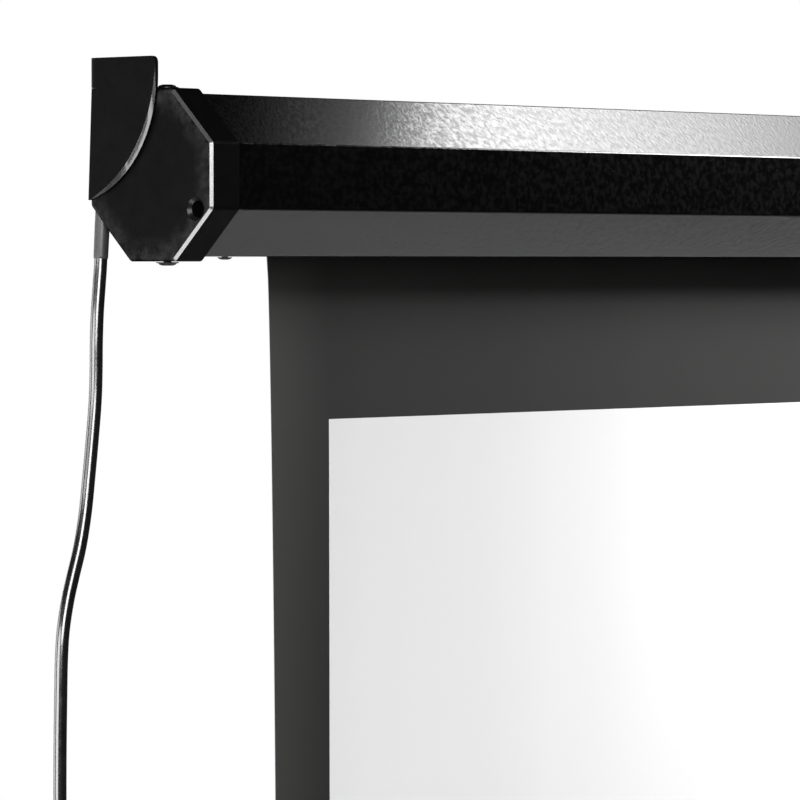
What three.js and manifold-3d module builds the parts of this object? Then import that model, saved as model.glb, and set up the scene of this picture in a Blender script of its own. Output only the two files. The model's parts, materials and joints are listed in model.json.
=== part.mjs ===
// Motorised projector screen, held on a wall by a bracket at each end.
// A roller inside an octagonal steel case winds up a black-bordered white sheet, which a weight bar pulls
// straight. A tubular motor lies inside the left end of the roller. The screen is modelled let down.
// Millimetres. X runs along the case from its left end, +Y points to the wall and +Z up.
// The pieces are written from the left cap's outer face and the case's centre line. One outer group then
// moves them so that the origin lies on the left bracket's wall face.

import * as THREE from "three";
import { mergeVertices } from "three/addons/utils/BufferGeometryUtils.js";
import Module from "manifold-3d";

const wasm = await Module();
wasm.setup();

// Clearances
const seatGap = 0.3; // between pieces that touch on the real screen
const runGap = 0.35; // round pieces that turn
const cutOverrun = 4; // how far a cutting tool passes through what it cuts

// Fineness
const roundSides = 24;
const fineSides = 40;
const bendSteps = 3;
const arcSteps = 14;

// Picture and sheet
const imageWidth = 1860;
const imageHeight = 1046;
const sideBorder = 47;
const topDrop = 85; // black sheet between the case and the picture
const bottomBorder = 45;
const sheetThickness = 0.36;
const pictureThickness = 0.2;
const motorEndMargin = 98; // cap face to the sheet's edge
const idlerEndMargin = 88;
const edgeCurl = 7.5; // how far the free side edges come forward
const curlReach = 66; // the width that curls
const waveHeight = 0.5;
const waveLength = 310;

// Case
const caseAcross = 80;
const caseTop = 41.5; // its top lies a little further from the centre line than its other sides
const caseSheet = 1;
const caseBend = 1.8;
const slotFrontY = 4.5;
const slotWidth = 9.8;
const lipHeight = 5;
const lipBend = 1.4;

// End caps
const capAcross = 85;
const capTop = 44;
const capChamfer = 26;
const capCorner = 3;
const capFace = 3.2;
const capLength = 20;
const capRim = 1.4;
const capRearEase = 3.4; // how much longer the rear lower slope is at the face than along the collar
const accessY = -31.5;
const accessZ = -16.5;
const accessRadius = 4.2;
const accessSinkRadius = 6;
const accessSinkDepth = 1.8;

// Cap screws
const capScrewX = 12.5;
const capScrewShank = 2;
const capScrewHead = 5.8;
const capScrewHeadHeight = 2;
const capScrewLength = 9;
const capScrewCrown_shares = [0.7, 0.3]; // of the head's radius, at its shoulder and on top

// Wall brackets
const bracketSheet = 2.5;
const bracketBend = 7.2; // outer radius, from the plate into its flange
const bracketBendRelief = 0.3;
const bracketSetback = 4.3; // of the plate's free rear edge, from the wall, under the flange
const bracketTipSetback = 1.9; // of the same edge at its lower end
const bracketFrontY = -6.2;
const bracketTopZ = 60;
const bracketCorner = 3;
const bracketArcZ = 49.3; // of the long arc's centre; the arc ends along the front edge
const bracketArcRadius = 63;
const bracketBevel = 1; // how deep its bevel reaches into the sheet
const bevelArcZ = 58; // the bevel's own, flatter arc on the outer face
const bevelArcRadius = 75;
const flangeLength = 36;
const flangeLift = 1; // flange clear above the cap
const flangeHole = 2.6;
const flangeHoleSpacing = 18;
const studRadius = 2.5;
const studLength = 11;
const upperStudY = 8;
const upperStudZ = 31.5;
const lowerStudY = 32.5;
const lowerStudZ = 2;
const nutAcross = 8;
const nutHeight = 4;

// Plates that carry the roller
const plateSheet = 2;
const motorPlateX = 40;
const idlerPlateInset = 54; // from the right cap's face
const plateTabLength = 14;
const plateTabWidth = 14;
const plateTabY = -5;
const rivetRadius = 1.6;
const rivetHead = 3.8;
const rivetHeadHeight = 1.3;
const rivetLength = 4.4;
const rivetInset = 7; // along the tab

// Roller
const rollerY = -10.8;
const rollerRadius = 21;
const rollerWall = 1.3;
const grooveWidth = 6;
const grooveDepth = 1.2;
const grooveWall = 1;
const rollerStartX = 68;
const rollerEndInset = 70;
const woundTurns = 1.15;
const woundPitch = 0.8;
const clampThickness = 0.7;

// Motor
const headRadius = 20;
const headLength = 18;
const lobeRadius = 4.4;
const motorRadius = 17.5;
const motorWall = 1.2;
const motorLength = 420;
const limitUnitLength = 46;
const capacitorLength = 60;
const capacitorRadius = 13;
const motorCoreLength = 150;
const shaftRadius = 5;
const shaftLength = 24;
const shaftFlat_share = 0.7; // of the radius, from the axis to the flat
const wheelLength = 18;
const wheelInset = 4;
const wheelPocket = 3;
const wheelHub = 9;
const wheelRim = 3;
const crownSleeve = 12;
const crownFlange = 3;
const crownFlangeRise = 0.8;
const headScrewRadius = 2;
const headScrewHead = 3.6;
const headScrewHeadHeight = 2.2;
const headScrewLength = 8;
const headScrewSpacing = 26;

// Limit adjuster
const adjusterRadius = 2.5;
const adjusterInset = 9; // its tip behind the cap's outer face
const adjusterDepth = 10; // how far it goes into the motor head
const adjusterSocket = 1.5;
const adjusterSocketDepth = 4;

// Control box and inner leads
const boxLength = 27;
const boxFrontY = -8;
const boxWidth = 34;
const boxLowZ = 4;
const boxHeight = 18;
const boxWall = 1.6;
const lidThickness = 2.2;
const motorLeadRadius = 2.2;
const motorLeadBend = 8;
const motorLeadY = -1;
const motorLeadDrop = 12;
const supplyLeadRadius = 2.9;

// Idler end
const plugSleeve = 28;
const plugFlange = 2.7;
const pinRadius = 4;
const pinInPlug = 26;
const pinPastPlate = 9;
const bushWall = 3;
const bushFlange = 2;
const bushFlangeRise = 2.2;
const bushLength = 8;
const ringThickness = 1.2;
const ringRise = 3.6;

// Weight bar
const barRadius = 10;
const barWall = 1.3;
const barSlot = 3;
const barOverhang = 8; // past the sheet on each side
const barCapThickness = 3;
const barCapRise = 0.7;
const barCapSpigot = 12;
const hemRodRadius = 2.5;

// Mains cord
const cordRadius = 3.5;
const cordSides = 10;
const reliefX = 5.4;
const reliefTipX = 4; // its nose leans a little to the outside
const reliefY = 38.6;
const reliefRootRadius = 3.85;
const reliefTipRadius = 3.6;
const reliefTipZ = -40;
const reliefBlockTopZ = -12;
const reliefBlockLowZ = -25;
const reliefBlockFrontY = 30;
const coilOuterRadius = 51;
const coilPitch = 7.9;
const coilLayerStep = 7.9;
const coilDip_share = 0.15; // of the pitch, inward while it climbs a layer
const coilTurns = 6;
const coilStartTurnShare = 65 / 360; // the first loop's missing share, before its side
const coilLeadBend = 30;
const coilLead = 2 * cordRadius;
const coilTail = 40;
const coilStepsPerTurn = 24;
const coilSides = 6;
const tieWidth = 9;
const tieThickness = 1.1;
const tieGap = 0.5;

// Plug
const plugWidth = 26;
const plugDepth = 22;
const plugHeight = 26;
const plugCorner = 5;
const plugShoulder = 5;
const plugNeckRadius = 5.2;
const plugNeckLength = 16;
const bladeWidth = 6.3;
const bladeThickness = 1.5;
const bladeSpacing = 12.7;
const bladeLength = 17;
const bladeRoot = 7;
const earthRadius = 2.4;
const earthLength = 20;
const earthOffset = 11.9;
const bladeOffset = 4.4; // of the blades from the plug's middle

// Route of the hanging cord, by hand: it drifts in a slow S beside the wall
const cordRoute = [
  [3.77, 38.6, -43.5],
  [3.4, 38.6, -48],
  [2.45, 38.6, -57],
  [1.3, 38.6, -69],
  [0.6, 38.6, -84],
  [0.4, 38.6, -98],
  [-0.3, 38.6, -113],
  [-2.3, 38.6, -131],
  [-4.9, 38.6, -151],
  [-7.5, 38.6, -169],
  [-11.4, 38.5, -186],
  [-16.3, 38.3, -200],
  [-20.7, 38, -213],
  [-24.2, 37.7, -228],
  [-25.8, 37.4, -244],
  [-26.6, 37.1, -263],
  [-27.1, 37, -282],
  [-27.3, 37, -300],
];

// Sizes worked out from the ones above
const sheetWidth = imageWidth + 2 * sideBorder;
const overallLength = motorEndMargin + sheetWidth + idlerEndMargin;
const caseHalf = caseAcross / 2;
const capHalf = capAcross / 2;
const caseFlatHalf = caseHalf * Math.tan(Math.PI / 8);
const caseEndX = capFace + seatGap;
const rollerEndX = overallLength - rollerEndInset;
const rollerBore = rollerRadius - rollerWall;
const innerRound = rollerBore - seatGap;
const sheetY = rollerY + rollerRadius + seatGap + woundPitch * woundTurns + sheetThickness / 2;
const pictureTopZ = -caseHalf - topDrop;
const barTopZ = pictureTopZ - imageHeight - bottomBorder;
const barZ = barTopZ - barRadius;
const flangeLowZ = capTop + flangeLift;
const flangeCentreX = flangeLength / 2 - bracketSheet - seatGap;
const flangeCentreZ = (flangeLowZ + bracketTopZ) / 2;
const flangeHolesX = (bracketBend + flangeLength) / 2 - bracketSheet - seatGap;

const wallY = new THREE.Vector3(0, 1, 0);
const upZ = new THREE.Vector3(0, 0, 1);
const alongX = new THREE.Vector3(1, 0, 0);

// Finishes
function finish(color, roughness, metalness) {
  return () => new THREE.MeshStandardMaterial({ color, roughness, metalness });
}
const hammeredBlack = finish(0x141517, 0.42, 0.35);
const capBlack = finish(0x1b1c1f, 0.5, 0.05);
const bracketBlack = finish(0x151716, 0.55, 0.3);
const zincSteel = finish(0xb9bcc0, 0.35, 0.9);
const screwBlack = finish(0x1a1a1c, 0.35, 0.7);
const plainAluminium = finish(0xc3c5c8, 0.4, 0.85);
const darkPlastic = finish(0x232427, 0.55, 0);
const paleNylon = finish(0xdcd8cc, 0.5, 0);
const copperCore = finish(0x8c5a3c, 0.5, 0.5);
const maskingBlack = finish(0x2c2b28, 0.85, 0);
const mattWhite = finish(0xf0f0f0, 0.8, 0);
const cordBlack = finish(0x101011, 0.3, 0);
const brassPlate = finish(0xc9ad6a, 0.35, 0.9);

// Manifold and geometry
function solid(geometry) {
  const bare = geometry.clone();
  bare.deleteAttribute("normal");
  bare.deleteAttribute("uv");
  const merged = mergeVertices(bare);
  return new wasm.Manifold(
    new wasm.Mesh({
      numProp: 3,
      vertProperties: Float32Array.from(merged.attributes.position.array),
      triVerts: Uint32Array.from(merged.index.array),
    }),
  );
}

function geometryOf(body) {
  const mesh = body.getMesh();
  const geometry = new THREE.BufferGeometry();
  geometry.setAttribute("position", new THREE.BufferAttribute(mesh.vertProperties, 3));
  geometry.setIndex(new THREE.BufferAttribute(mesh.triVerts, 1));
  const loose = geometry.toNonIndexed();
  loose.computeVertexNormals();
  return loose;
}

function cut(base, ...tools) {
  return geometryOf(tools.reduce((body, tool) => body.subtract(solid(tool)), solid(base)));
}

function join(base, ...others) {
  return geometryOf(others.reduce((body, other) => body.add(solid(other)), solid(base)));
}

function common(base, other) {
  return geometryOf(solid(base).intersect(solid(other)));
}

// Plain shapes along the axes
function block(x0, x1, y0, y1, z0, z1) {
  const box = new THREE.BoxGeometry(x1 - x0, y1 - y0, z1 - z0);
  return box.translate((x0 + x1) / 2, (y0 + y1) / 2, (z0 + z1) / 2);
}

function rod(axis, radius, start, end, radiusAtEnd = radius, sides = roundSides) {
  const length = end - start;
  const shape = new THREE.CylinderGeometry(radiusAtEnd, radius, length, sides);
  shape.translate(0, start + length / 2, 0);
  if (axis === "x") {
    shape.rotateZ(-Math.PI / 2);
  }
  if (axis === "z") {
    shape.rotateX(Math.PI / 2);
  }
  return shape;
}

function turned(profile, sides = roundSides) {
  const points = profile.map(([along, radius]) => new THREE.Vector2(radius, along));
  const shape = new THREE.LatheGeometry(points, sides);
  return shape.rotateZ(-Math.PI / 2);
}

function pipe(outer, inner, x0, x1, sides = roundSides) {
  return turned([[x0, inner], [x0, outer], [x1, outer], [x1, inner], [x0, inner]], sides);
}

// Outlines in the Y-Z plane, drawn out along X
const acrossTheCase = new THREE.Matrix4().makeBasis(wallY, upZ, alongX);

function drawn(outline, x0, x1) {
  const shape = new THREE.Shape(outline);
  const solidShape = new THREE.ExtrudeGeometry(shape, { depth: x1 - x0, bevelEnabled: false });
  return solidShape.applyMatrix4(acrossTheCase).translate(x0, 0, 0);
}

// Corners from the underside's front round the top to its rear. Along its slopes |y| + |z| is the cut.
function eightCorners(half, top, cut, rearLowCut = cut) {
  return [
    [half - cut, -half],
    [-half, half - cut],
    [-half, cut - half],
    [top - cut, top],
    [cut - top, top],
    [half, cut - half],
    [half, half - rearLowCut],
    [rearLowCut - half, -half],
  ];
}

function caseFolds(grow) {
  return eightCorners(caseHalf + grow, caseTop + grow, caseHalf + caseFlatHalf + grow * Math.SQRT2);
}

function caseOutline(grow) {
  return caseFolds(grow).map(([y, z]) => new THREE.Vector2(y, z));
}

// Closed solid through outlines of equal count that stand at their own X
function lofted(sections) {
  const count = sections[0][1].length;
  const points = sections.flatMap(([x, outline]) => outline.flatMap((p) => [x, p.x, p.y]));
  const faces = [];
  for (let s = 0; s + 1 < sections.length; s += 1) {
    for (let i = 0; i < count; i += 1) {
      const a = s * count + i;
      const b = s * count + ((i + 1) % count);
      faces.push(a, b, b + count, a, b + count, a + count);
    }
  }
  const last = (sections.length - 1) * count;
  for (let i = 1; i + 1 < count; i += 1) {
    faces.push(0, i + 1, i);
    faces.push(last, last + i, last + i + 1);
  }
  const geometry = new THREE.BufferGeometry();
  geometry.setAttribute("position", new THREE.Float32BufferAttribute(points, 3));
  geometry.setIndex(faces);
  return geometry;
}

// Bent sheet: corners are [y, z, bend radius], walked with the inside of the bend on the right
function bentLine(corners) {
  const points = [];
  corners.forEach(([y, z, radius], i) => {
    const here = new THREE.Vector2(y, z);
    if (i === 0 || i === corners.length - 1) {
      points.push(here);
      return;
    }
    const back = new THREE.Vector2(corners[i - 1][0], corners[i - 1][1]).sub(here).normalize();
    const on = new THREE.Vector2(corners[i + 1][0], corners[i + 1][1]).sub(here).normalize();
    const half = Math.acos(THREE.MathUtils.clamp(back.dot(on), -1, 1)) / 2;
    const reach = radius / Math.tan(half);
    const middle = back.clone().add(on).normalize();
    const centre = here.clone().addScaledVector(middle, radius / Math.sin(half));
    const from = here.clone().addScaledVector(back, reach).sub(centre);
    const to = here.clone().addScaledVector(on, reach).sub(centre);
    const sweep = -Math.acos(THREE.MathUtils.clamp(from.dot(to) / (radius * radius), -1, 1));
    for (let k = 0; k <= bendSteps; k += 1) {
      const spoke = from.clone().rotateAround(new THREE.Vector2(), (sweep * k) / bendSteps);
      points.push(spoke.add(centre));
    }
  });
  return points;
}

function insideLine(corners, sheet) {
  const lines = corners.slice(1).map(([y, z], i) => {
    const start = new THREE.Vector2(corners[i][0], corners[i][1]);
    const along = new THREE.Vector2(y, z).sub(start).normalize();
    const inward = new THREE.Vector2(along.y, -along.x);
    return { start: start.addScaledVector(inward, sheet), along };
  });
  return corners.map(([y, z, radius], i) => {
    if (i === 0) {
      return [lines[0].start.x, lines[0].start.y, 0];
    }
    const before = lines[i - 1];
    if (i === corners.length - 1) {
      const end = new THREE.Vector2(y, z).sub(before.start);
      const foot = before.start.clone().addScaledVector(before.along, end.dot(before.along));
      return [foot.x, foot.y, 0];
    }
    const after = lines[i];
    const between = after.start.clone().sub(before.start);
    const share = between.cross(after.along) / before.along.cross(after.along);
    const corner = before.start.clone().addScaledVector(before.along, share);
    return [corner.x, corner.y, radius - sheet];
  });
}

function bentSheet(corners, sheet) {
  return [...bentLine(corners), ...bentLine(insideLine(corners, sheet)).reverse()];
}

// Tube through points, with square ends, for windings
function woundTube(points, radius, sides) {
  const rings = points.map((point, i) => {
    const before = points[Math.max(i - 1, 0)];
    const after = points[Math.min(i + 1, points.length - 1)];
    const along = after.clone().sub(before).normalize();
    const side = wallY.clone().addScaledVector(along, -wallY.dot(along)).normalize();
    const up = new THREE.Vector3().crossVectors(along, side);
    return Array.from({ length: sides }, (_, k) => {
      const turn = (2 * Math.PI * k) / sides;
      const spoke = side.clone().multiplyScalar(Math.cos(turn)).addScaledVector(up, Math.sin(turn));
      return point.clone().addScaledVector(spoke, radius);
    });
  });
  const positions = rings.flat().flatMap((p) => [p.x, p.y, p.z]);
  const faces = [];
  for (let r = 0; r + 1 < rings.length; r += 1) {
    for (let k = 0; k < sides; k += 1) {
      const a = r * sides + k;
      const b = r * sides + ((k + 1) % sides);
      faces.push(a, b, b + sides, a, b + sides, a + sides);
    }
  }
  const last = (rings.length - 1) * sides;
  for (let k = 1; k + 1 < sides; k += 1) {
    faces.push(0, k + 1, k);
    faces.push(last, last + k, last + k + 1);
  }
  const geometry = new THREE.BufferGeometry();
  geometry.setAttribute("position", new THREE.Float32BufferAttribute(positions, 3));
  geometry.setIndex(faces);
  return geometry;
}

function tubeAlong(points, radius, sides, steps) {
  const section = new THREE.Shape(
    Array.from({ length: sides }, (_, k) => {
      const turn = (2 * Math.PI * k) / sides;
      return new THREE.Vector2(radius * Math.cos(turn), radius * Math.sin(turn));
    }),
  );
  const extrudePath = new THREE.CatmullRomCurve3(points, false, "centripetal");
  return new THREE.ExtrudeGeometry(section, { steps, bevelEnabled: false, extrudePath });
}

const nodes = {};

function piece(name, geometry, material) {
  const mesh = new THREE.Mesh(geometry, material());
  mesh.name = name;
  nodes[name] = mesh;
  return mesh;
}

function at(mesh, x, y, z) {
  mesh.position.set(x, y, z);
  return mesh;
}

// Case: one folded sheet, open between two turned-up lips
function caseCorners() {
  const slotRearY = slotFrontY + slotWidth;
  const lipTop = lipHeight - caseHalf;
  return [
    [slotFrontY, lipTop, 0],
    [slotFrontY, -caseHalf, lipBend],
    ...caseFolds(0).map(([y, z]) => [y, z, caseBend]),
    [slotRearY, -caseHalf, lipBend],
    [slotRearY, lipTop, 0],
  ];
}

function reliefNotch(clearance) {
  return block(
    reliefX - reliefRootRadius - clearance,
    reliefX + reliefRootRadius + clearance,
    reliefBlockFrontY - clearance,
    capHalf + cutOverrun,
    reliefBlockLowZ - clearance,
    reliefBlockTopZ + clearance,
  );
}

function screwHole(x, radius) {
  return rod("z", radius, -capHalf - cutOverrun, capTop + cutOverrun).translate(x, 0, 0);
}

function rivetHoles(x) {
  const radius = rivetRadius + seatGap;
  const inner = caseHalf - caseSheet - plateSheet - cutOverrun;
  const low = rod("z", radius, -caseHalf - cutOverrun, -inner).translate(x, plateTabY, 0);
  const rear = rod("y", radius, inner, caseHalf + cutOverrun).translate(x, 0, 0);
  return [low, rear];
}

const motorRivetX = motorPlateX + plateSheet + rivetInset;
const idlerRivetX = overallLength - idlerPlateInset + plateSheet + rivetInset;

function caseShell() {
  const shell = drawn(bentSheet(caseCorners(), caseSheet), caseEndX, overallLength - caseEndX);
  const screwRadius = capScrewShank + seatGap;
  return cut(
    shell,
    reliefNotch(seatGap),
    screwHole(capScrewX, screwRadius),
    screwHole(overallLength - capScrewX, screwRadius),
    ...rivetHoles(motorRivetX),
    ...rivetHoles(idlerRivetX),
  );
}

// End cap: bevelled face and collar, with rounded corners
function capOutline(inset, ease) {
  const half = capHalf - inset;
  const cut = 2 * capHalf - capChamfer - inset * Math.SQRT2;
  const corners = eightCorners(half, capTop - inset, cut, cut - ease);
  const start = [0, -half, 0];
  const bends = corners.map(([y, z]) => [y, z, capCorner - inset]);
  return bentLine([start, ...bends, start]).slice(1).reverse();
}

function capOuter() {
  const full = capOutline(0, 0);
  return lofted([
    [0, capOutline(capRim, capRearEase)],
    [capRim, capOutline(0, capRearEase * (1 - capRim / capFace))],
    [capFace, full],
    [capLength, full],
  ]);
}

function studHoles() {
  const radius = studRadius + seatGap;
  return [[upperStudY, upperStudZ], [lowerStudY, lowerStudZ]].map(([y, z]) =>
    rod("x", radius, -cutOverrun, capFace + cutOverrun).translate(0, y, z),
  );
}

function endCap(isMotorEnd) {
  const pocket = drawn(caseOutline(seatGap), capFace, capLength + cutOverrun);
  const shared = cut(capOuter(), pocket, screwHole(capScrewX, capScrewShank + seatGap), ...studHoles());
  if (!isMotorEnd) {
    return shared;
  }
  const slope = (accessSinkRadius - accessRadius) / accessSinkDepth;
  const sink = rod("x", accessSinkRadius + slope * cutOverrun, -cutOverrun, accessSinkDepth, accessRadius);
  const bore = rod("x", accessRadius, -cutOverrun, capFace + cutOverrun);
  return cut(
    shared,
    sink.translate(0, accessY, accessZ),
    bore.translate(0, accessY, accessZ),
    reliefNotch(seatGap),
  );
}

function capScrew() {
  const crown = capScrewHeadHeight;
  const edge = crown / 4;
  const [shoulder_share, top_share] = capScrewCrown_shares;
  const shape = turned([
    [-capScrewLength, 0],
    [-capScrewLength, capScrewShank],
    [0, capScrewShank],
    [0, capScrewHead],
    [edge, capScrewHead],
    [(edge + crown) / 2 + edge, capScrewHead * shoulder_share],
    [crown, capScrewHead * top_share],
    [crown, 0],
  ]);
  return shape.rotateY(-Math.PI / 2);
}

// Wall bracket: side plate with a long bevelled arc, wall flange bent in above the cap, two studs
function bracketOutline(arcRadius, arcZ) {
  const rearY = capHalf - bracketSetback;
  const tipY = capHalf - bracketTipSetback;
  const bendY = capHalf - bracketBend;
  const stepZ = flangeLowZ - bracketBendRelief;
  const cornerZ = bracketTopZ - bracketCorner;
  const arcY = bracketFrontY + arcRadius;
  const from = Math.acos((tipY - arcY) / arcRadius);
  const to = Math.PI - Math.asin(Math.max(arcZ - cornerZ, 0) / arcRadius);
  const arc = Array.from({ length: arcSteps + 1 }, (_, k) => {
    const angle = -(from + ((to - from) * k) / arcSteps);
    return new THREE.Vector2(
      arcY + arcRadius * Math.cos(angle),
      arcZ + arcRadius * Math.sin(angle),
    );
  });
  const corner = Array.from({ length: bendSteps + 1 }, (_, k) => {
    const angle = Math.PI - (Math.PI / 2) * (k / bendSteps);
    return new THREE.Vector2(
      bracketFrontY + bracketCorner + bracketCorner * Math.cos(angle),
      cornerZ + bracketCorner * Math.sin(angle),
    );
  });
  const step = [[bendY, bracketTopZ], [bendY, stepZ], [rearY, stepZ]];
  const rear = step.map(([y, z]) => new THREE.Vector2(y, z));
  const [tip, ...others] = [...arc, ...corner, ...rear];
  return [tip, ...others.reverse()];
}

// The flange and its bend, drawn up along Z, overlapping the plate by one sheet
function bentFlange(outer) {
  const inner = outer + bracketSheet;
  const turnX = outer + bracketBend;
  const turnY = capHalf - bracketBend;
  const endX = outer + flangeLength;
  const shape = new THREE.Shape();
  shape.moveTo(inner, turnY - bracketSheet);
  shape.lineTo(inner, turnY);
  shape.absarc(turnX, turnY, bracketBend - bracketSheet, Math.PI, Math.PI / 2, true);
  shape.lineTo(endX, capHalf - bracketSheet);
  shape.lineTo(endX, capHalf);
  shape.lineTo(turnX, capHalf);
  shape.absarc(turnX, turnY, bracketBend, Math.PI / 2, Math.PI, false);
  shape.lineTo(outer, turnY - bracketSheet);
  const options = { depth: bracketTopZ - flangeLowZ, bevelEnabled: false, curveSegments: bendSteps };
  return new THREE.ExtrudeGeometry(shape, options).translate(0, 0, flangeLowZ);
}

function wallBracket() {
  const inner = -seatGap;
  const outer = inner - bracketSheet;
  const edge = bracketOutline(bracketArcRadius, bracketArcZ);
  const bevelEdge = bracketOutline(bevelArcRadius, bevelArcZ);
  const plate = lofted([[outer, bevelEdge], [outer + bracketBevel, edge], [inner, edge]]);
  const root = bracketSheet / 2;
  const studs = [[upperStudY, upperStudZ], [lowerStudY, lowerStudZ]].map(([y, z]) =>
    rod("x", studRadius, inner - root, studLength).translate(0, y, z),
  );
  const holes = [-flangeHoleSpacing / 2, flangeHoleSpacing / 2].map((offset) =>
    rod("y", flangeHole, capHalf - bracketSheet - cutOverrun, capHalf + cutOverrun).translate(
      flangeHolesX + offset,
      0,
      flangeCentreZ,
    ),
  );
  return cut(join(plate, bentFlange(outer), ...studs), ...holes);
}

function nut() {
  const radius = nutAcross / Math.sqrt(3);
  const hex = rod("x", radius, 0, nutHeight, radius, 6);
  return cut(hex, rod("x", studRadius + seatGap, -cutOverrun, nutHeight + cutOverrun));
}

// Carrier plate across the case, with two tabs riveted to the case
function carrierPlate(holes) {
  const reach = caseHalf - caseSheet - seatGap;
  const plate = drawn(caseOutline(-caseSheet - seatGap), 0, plateSheet);
  const lipRoom = block(
    -cutOverrun,
    plateSheet + cutOverrun,
    slotFrontY - caseSheet - 2 * seatGap,
    slotFrontY + slotWidth + caseSheet + 2 * seatGap,
    -caseHalf - cutOverrun,
    lipHeight - caseHalf + 2 * seatGap,
  );
  const tabEnd = plateSheet + plateTabLength;
  const half = plateTabWidth / 2;
  const lowTab = block(0, tabEnd, plateTabY - half, plateTabY + half, -reach, plateSheet - reach);
  const rearTab = block(0, tabEnd, reach - plateSheet, reach, -half, half);
  const rivets = rivetHoles(plateSheet + rivetInset);
  return cut(join(cut(plate, lipRoom), lowTab, rearTab), ...rivets, ...holes);
}

function rivet() {
  const shape = turned([
    [-rivetLength, 0],
    [-rivetLength, rivetRadius],
    [0, rivetRadius],
    [0, rivetHead],
    [rivetHeadHeight / 3, rivetHead],
    [rivetHeadHeight, rivetHead / 2],
    [rivetHeadHeight, 0],
  ], 16);
  return shape.rotateY(-Math.PI / 2);
}

// Motor head with the lobe that holds the limit adjuster
function motorHead() {
  const disc = rod("x", headRadius, 0, headLength, headRadius, fineSides).translate(0, rollerY, 0);
  const lobe = rod("x", lobeRadius, 0, headLength).translate(0, accessY, accessZ);
  const armY = accessY - rollerY;
  const arm = Math.hypot(armY, accessZ);
  const bridge = block(0, headLength, 0, arm, -lobeRadius, lobeRadius);
  bridge.rotateX(Math.atan2(accessZ, armY)).translate(0, rollerY, 0);
  const bore = rod("x", adjusterRadius + runGap, -cutOverrun, adjusterDepth);
  const screwBores = headScrewPlaces().map(([y, z]) =>
    rod("x", headScrewRadius + seatGap, -cutOverrun, headScrewLength).translate(0, y, z),
  );
  return cut(join(disc, lobe, bridge), bore.translate(0, accessY, accessZ), ...screwBores);
}

function headScrewPlaces() {
  return [
    [rollerY, headScrewSpacing / 2],
    [rollerY, -headScrewSpacing / 2],
  ];
}

function headScrew() {
  const shape = turned([
    [-headScrewLength + plateSheet, 0],
    [-headScrewLength + plateSheet, headScrewRadius],
    [seatGap, headScrewRadius],
    [seatGap, headScrewHead],
    [headScrewHeadHeight, headScrewHead],
    [headScrewHeadHeight, 0],
  ], 16);
  return shape.rotateY(Math.PI);
}

function motorPlate() {
  const adjusterHole = rod("x", adjusterRadius + 2 * runGap, -cutOverrun, plateSheet + cutOverrun);
  const leadHole = rod("x", motorLeadRadius + seatGap, -cutOverrun, plateSheet + cutOverrun);
  const screwHoles = headScrewPlaces().map(([y, z]) =>
    rod("x", headScrewRadius + seatGap, -cutOverrun, plateSheet + cutOverrun).translate(0, y, z),
  );
  return carrierPlate([
    adjusterHole.translate(0, accessY, accessZ),
    leadHole.translate(0, motorLeadY, boxLowZ - motorLeadDrop),
    ...screwHoles,
  ]);
}

function idlerPlate() {
  const radius = pinRadius + runGap + bushWall + seatGap;
  const hole = rod("x", radius, -cutOverrun, plateSheet + cutOverrun, radius, fineSides);
  return carrierPlate([hole.translate(0, rollerY, 0)]);
}

// Limit adjuster: a long spindle with a square socket behind the cap's hole
function limitAdjuster(length) {
  const spindle = rod("x", adjusterRadius, 0, length);
  const half = adjusterSocket;
  const socket = block(-cutOverrun, adjusterSocketDepth, -half, half, -half, half);
  return cut(spindle, socket);
}

// Groove of the roller tube: the strip that clamps the sheet lies in it
function grooveRoom(x0, x1, clearance) {
  const half = grooveWidth / 2 + grooveWall + clearance;
  const bottom = rollerRadius - grooveDepth - grooveWall - clearance;
  return block(x0 - cutOverrun, x1 + cutOverrun, -rollerRadius - cutOverrun, -bottom, -half, half);
}

function rollerTube(length) {
  const tube = pipe(rollerRadius, rollerBore, 0, length, fineSides);
  const half = grooveWidth / 2;
  const floorY = -(rollerRadius - grooveDepth);
  const trough = block(
    0,
    length,
    -rollerBore - rollerWall / 2,
    floorY + grooveWall,
    -half - grooveWall,
    half + grooveWall,
  );
  const groove = block(-cutOverrun, length + cutOverrun, -rollerRadius - cutOverrun, floorY, -half, half);
  return cut(join(tube, trough), groove);
}

function crownRing() {
  const bore = motorRadius + runGap;
  const flangeRadius = rollerRadius + crownFlangeRise;
  const ring = turned([
    [0, bore],
    [0, flangeRadius],
    [crownFlange, flangeRadius],
    [crownFlange, innerRound],
    [crownFlange + crownSleeve, innerRound],
    [crownFlange + crownSleeve, bore],
    [0, bore],
  ], fineSides);
  return cut(ring, grooveRoom(crownFlange + cutOverrun, crownFlange + crownSleeve, seatGap));
}

function driveWheel() {
  const wheel = rod("x", innerRound, 0, wheelLength, innerRound, fineSides);
  const pocketX = wheelLength - wheelPocket;
  const ringPocket = pipe(innerRound - wheelRim, wheelHub, pocketX, wheelLength + cutOverrun);
  const shaftHole = rod("x", shaftRadius + seatGap, -cutOverrun, wheelLength + cutOverrun);
  return cut(wheel, ringPocket, shaftHole, grooveRoom(0, wheelLength, seatGap));
}

function outputShaft() {
  const shaft = rod("x", shaftRadius, 0, shaftLength);
  const flat = block(
    -cutOverrun,
    shaftLength + cutOverrun,
    shaftRadius * shaftFlat_share,
    shaftRadius + cutOverrun,
    -shaftRadius,
    shaftRadius,
  );
  return cut(shaft, flat);
}

function woundSheet() {
  const steps = Math.round(fineSides * woundTurns);
  const start = rollerRadius + seatGap;
  const line = (offset) =>
    Array.from({ length: steps + 1 }, (_, k) => {
      const turn = (woundTurns * k) / steps;
      const radius = start + offset + woundPitch * turn;
      const angle = 2 * Math.PI * (woundTurns - turn);
      return new THREE.Vector2(radius * Math.cos(angle), radius * Math.sin(angle));
    });
  return [...line(sheetThickness), ...line(0).reverse()];
}

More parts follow.
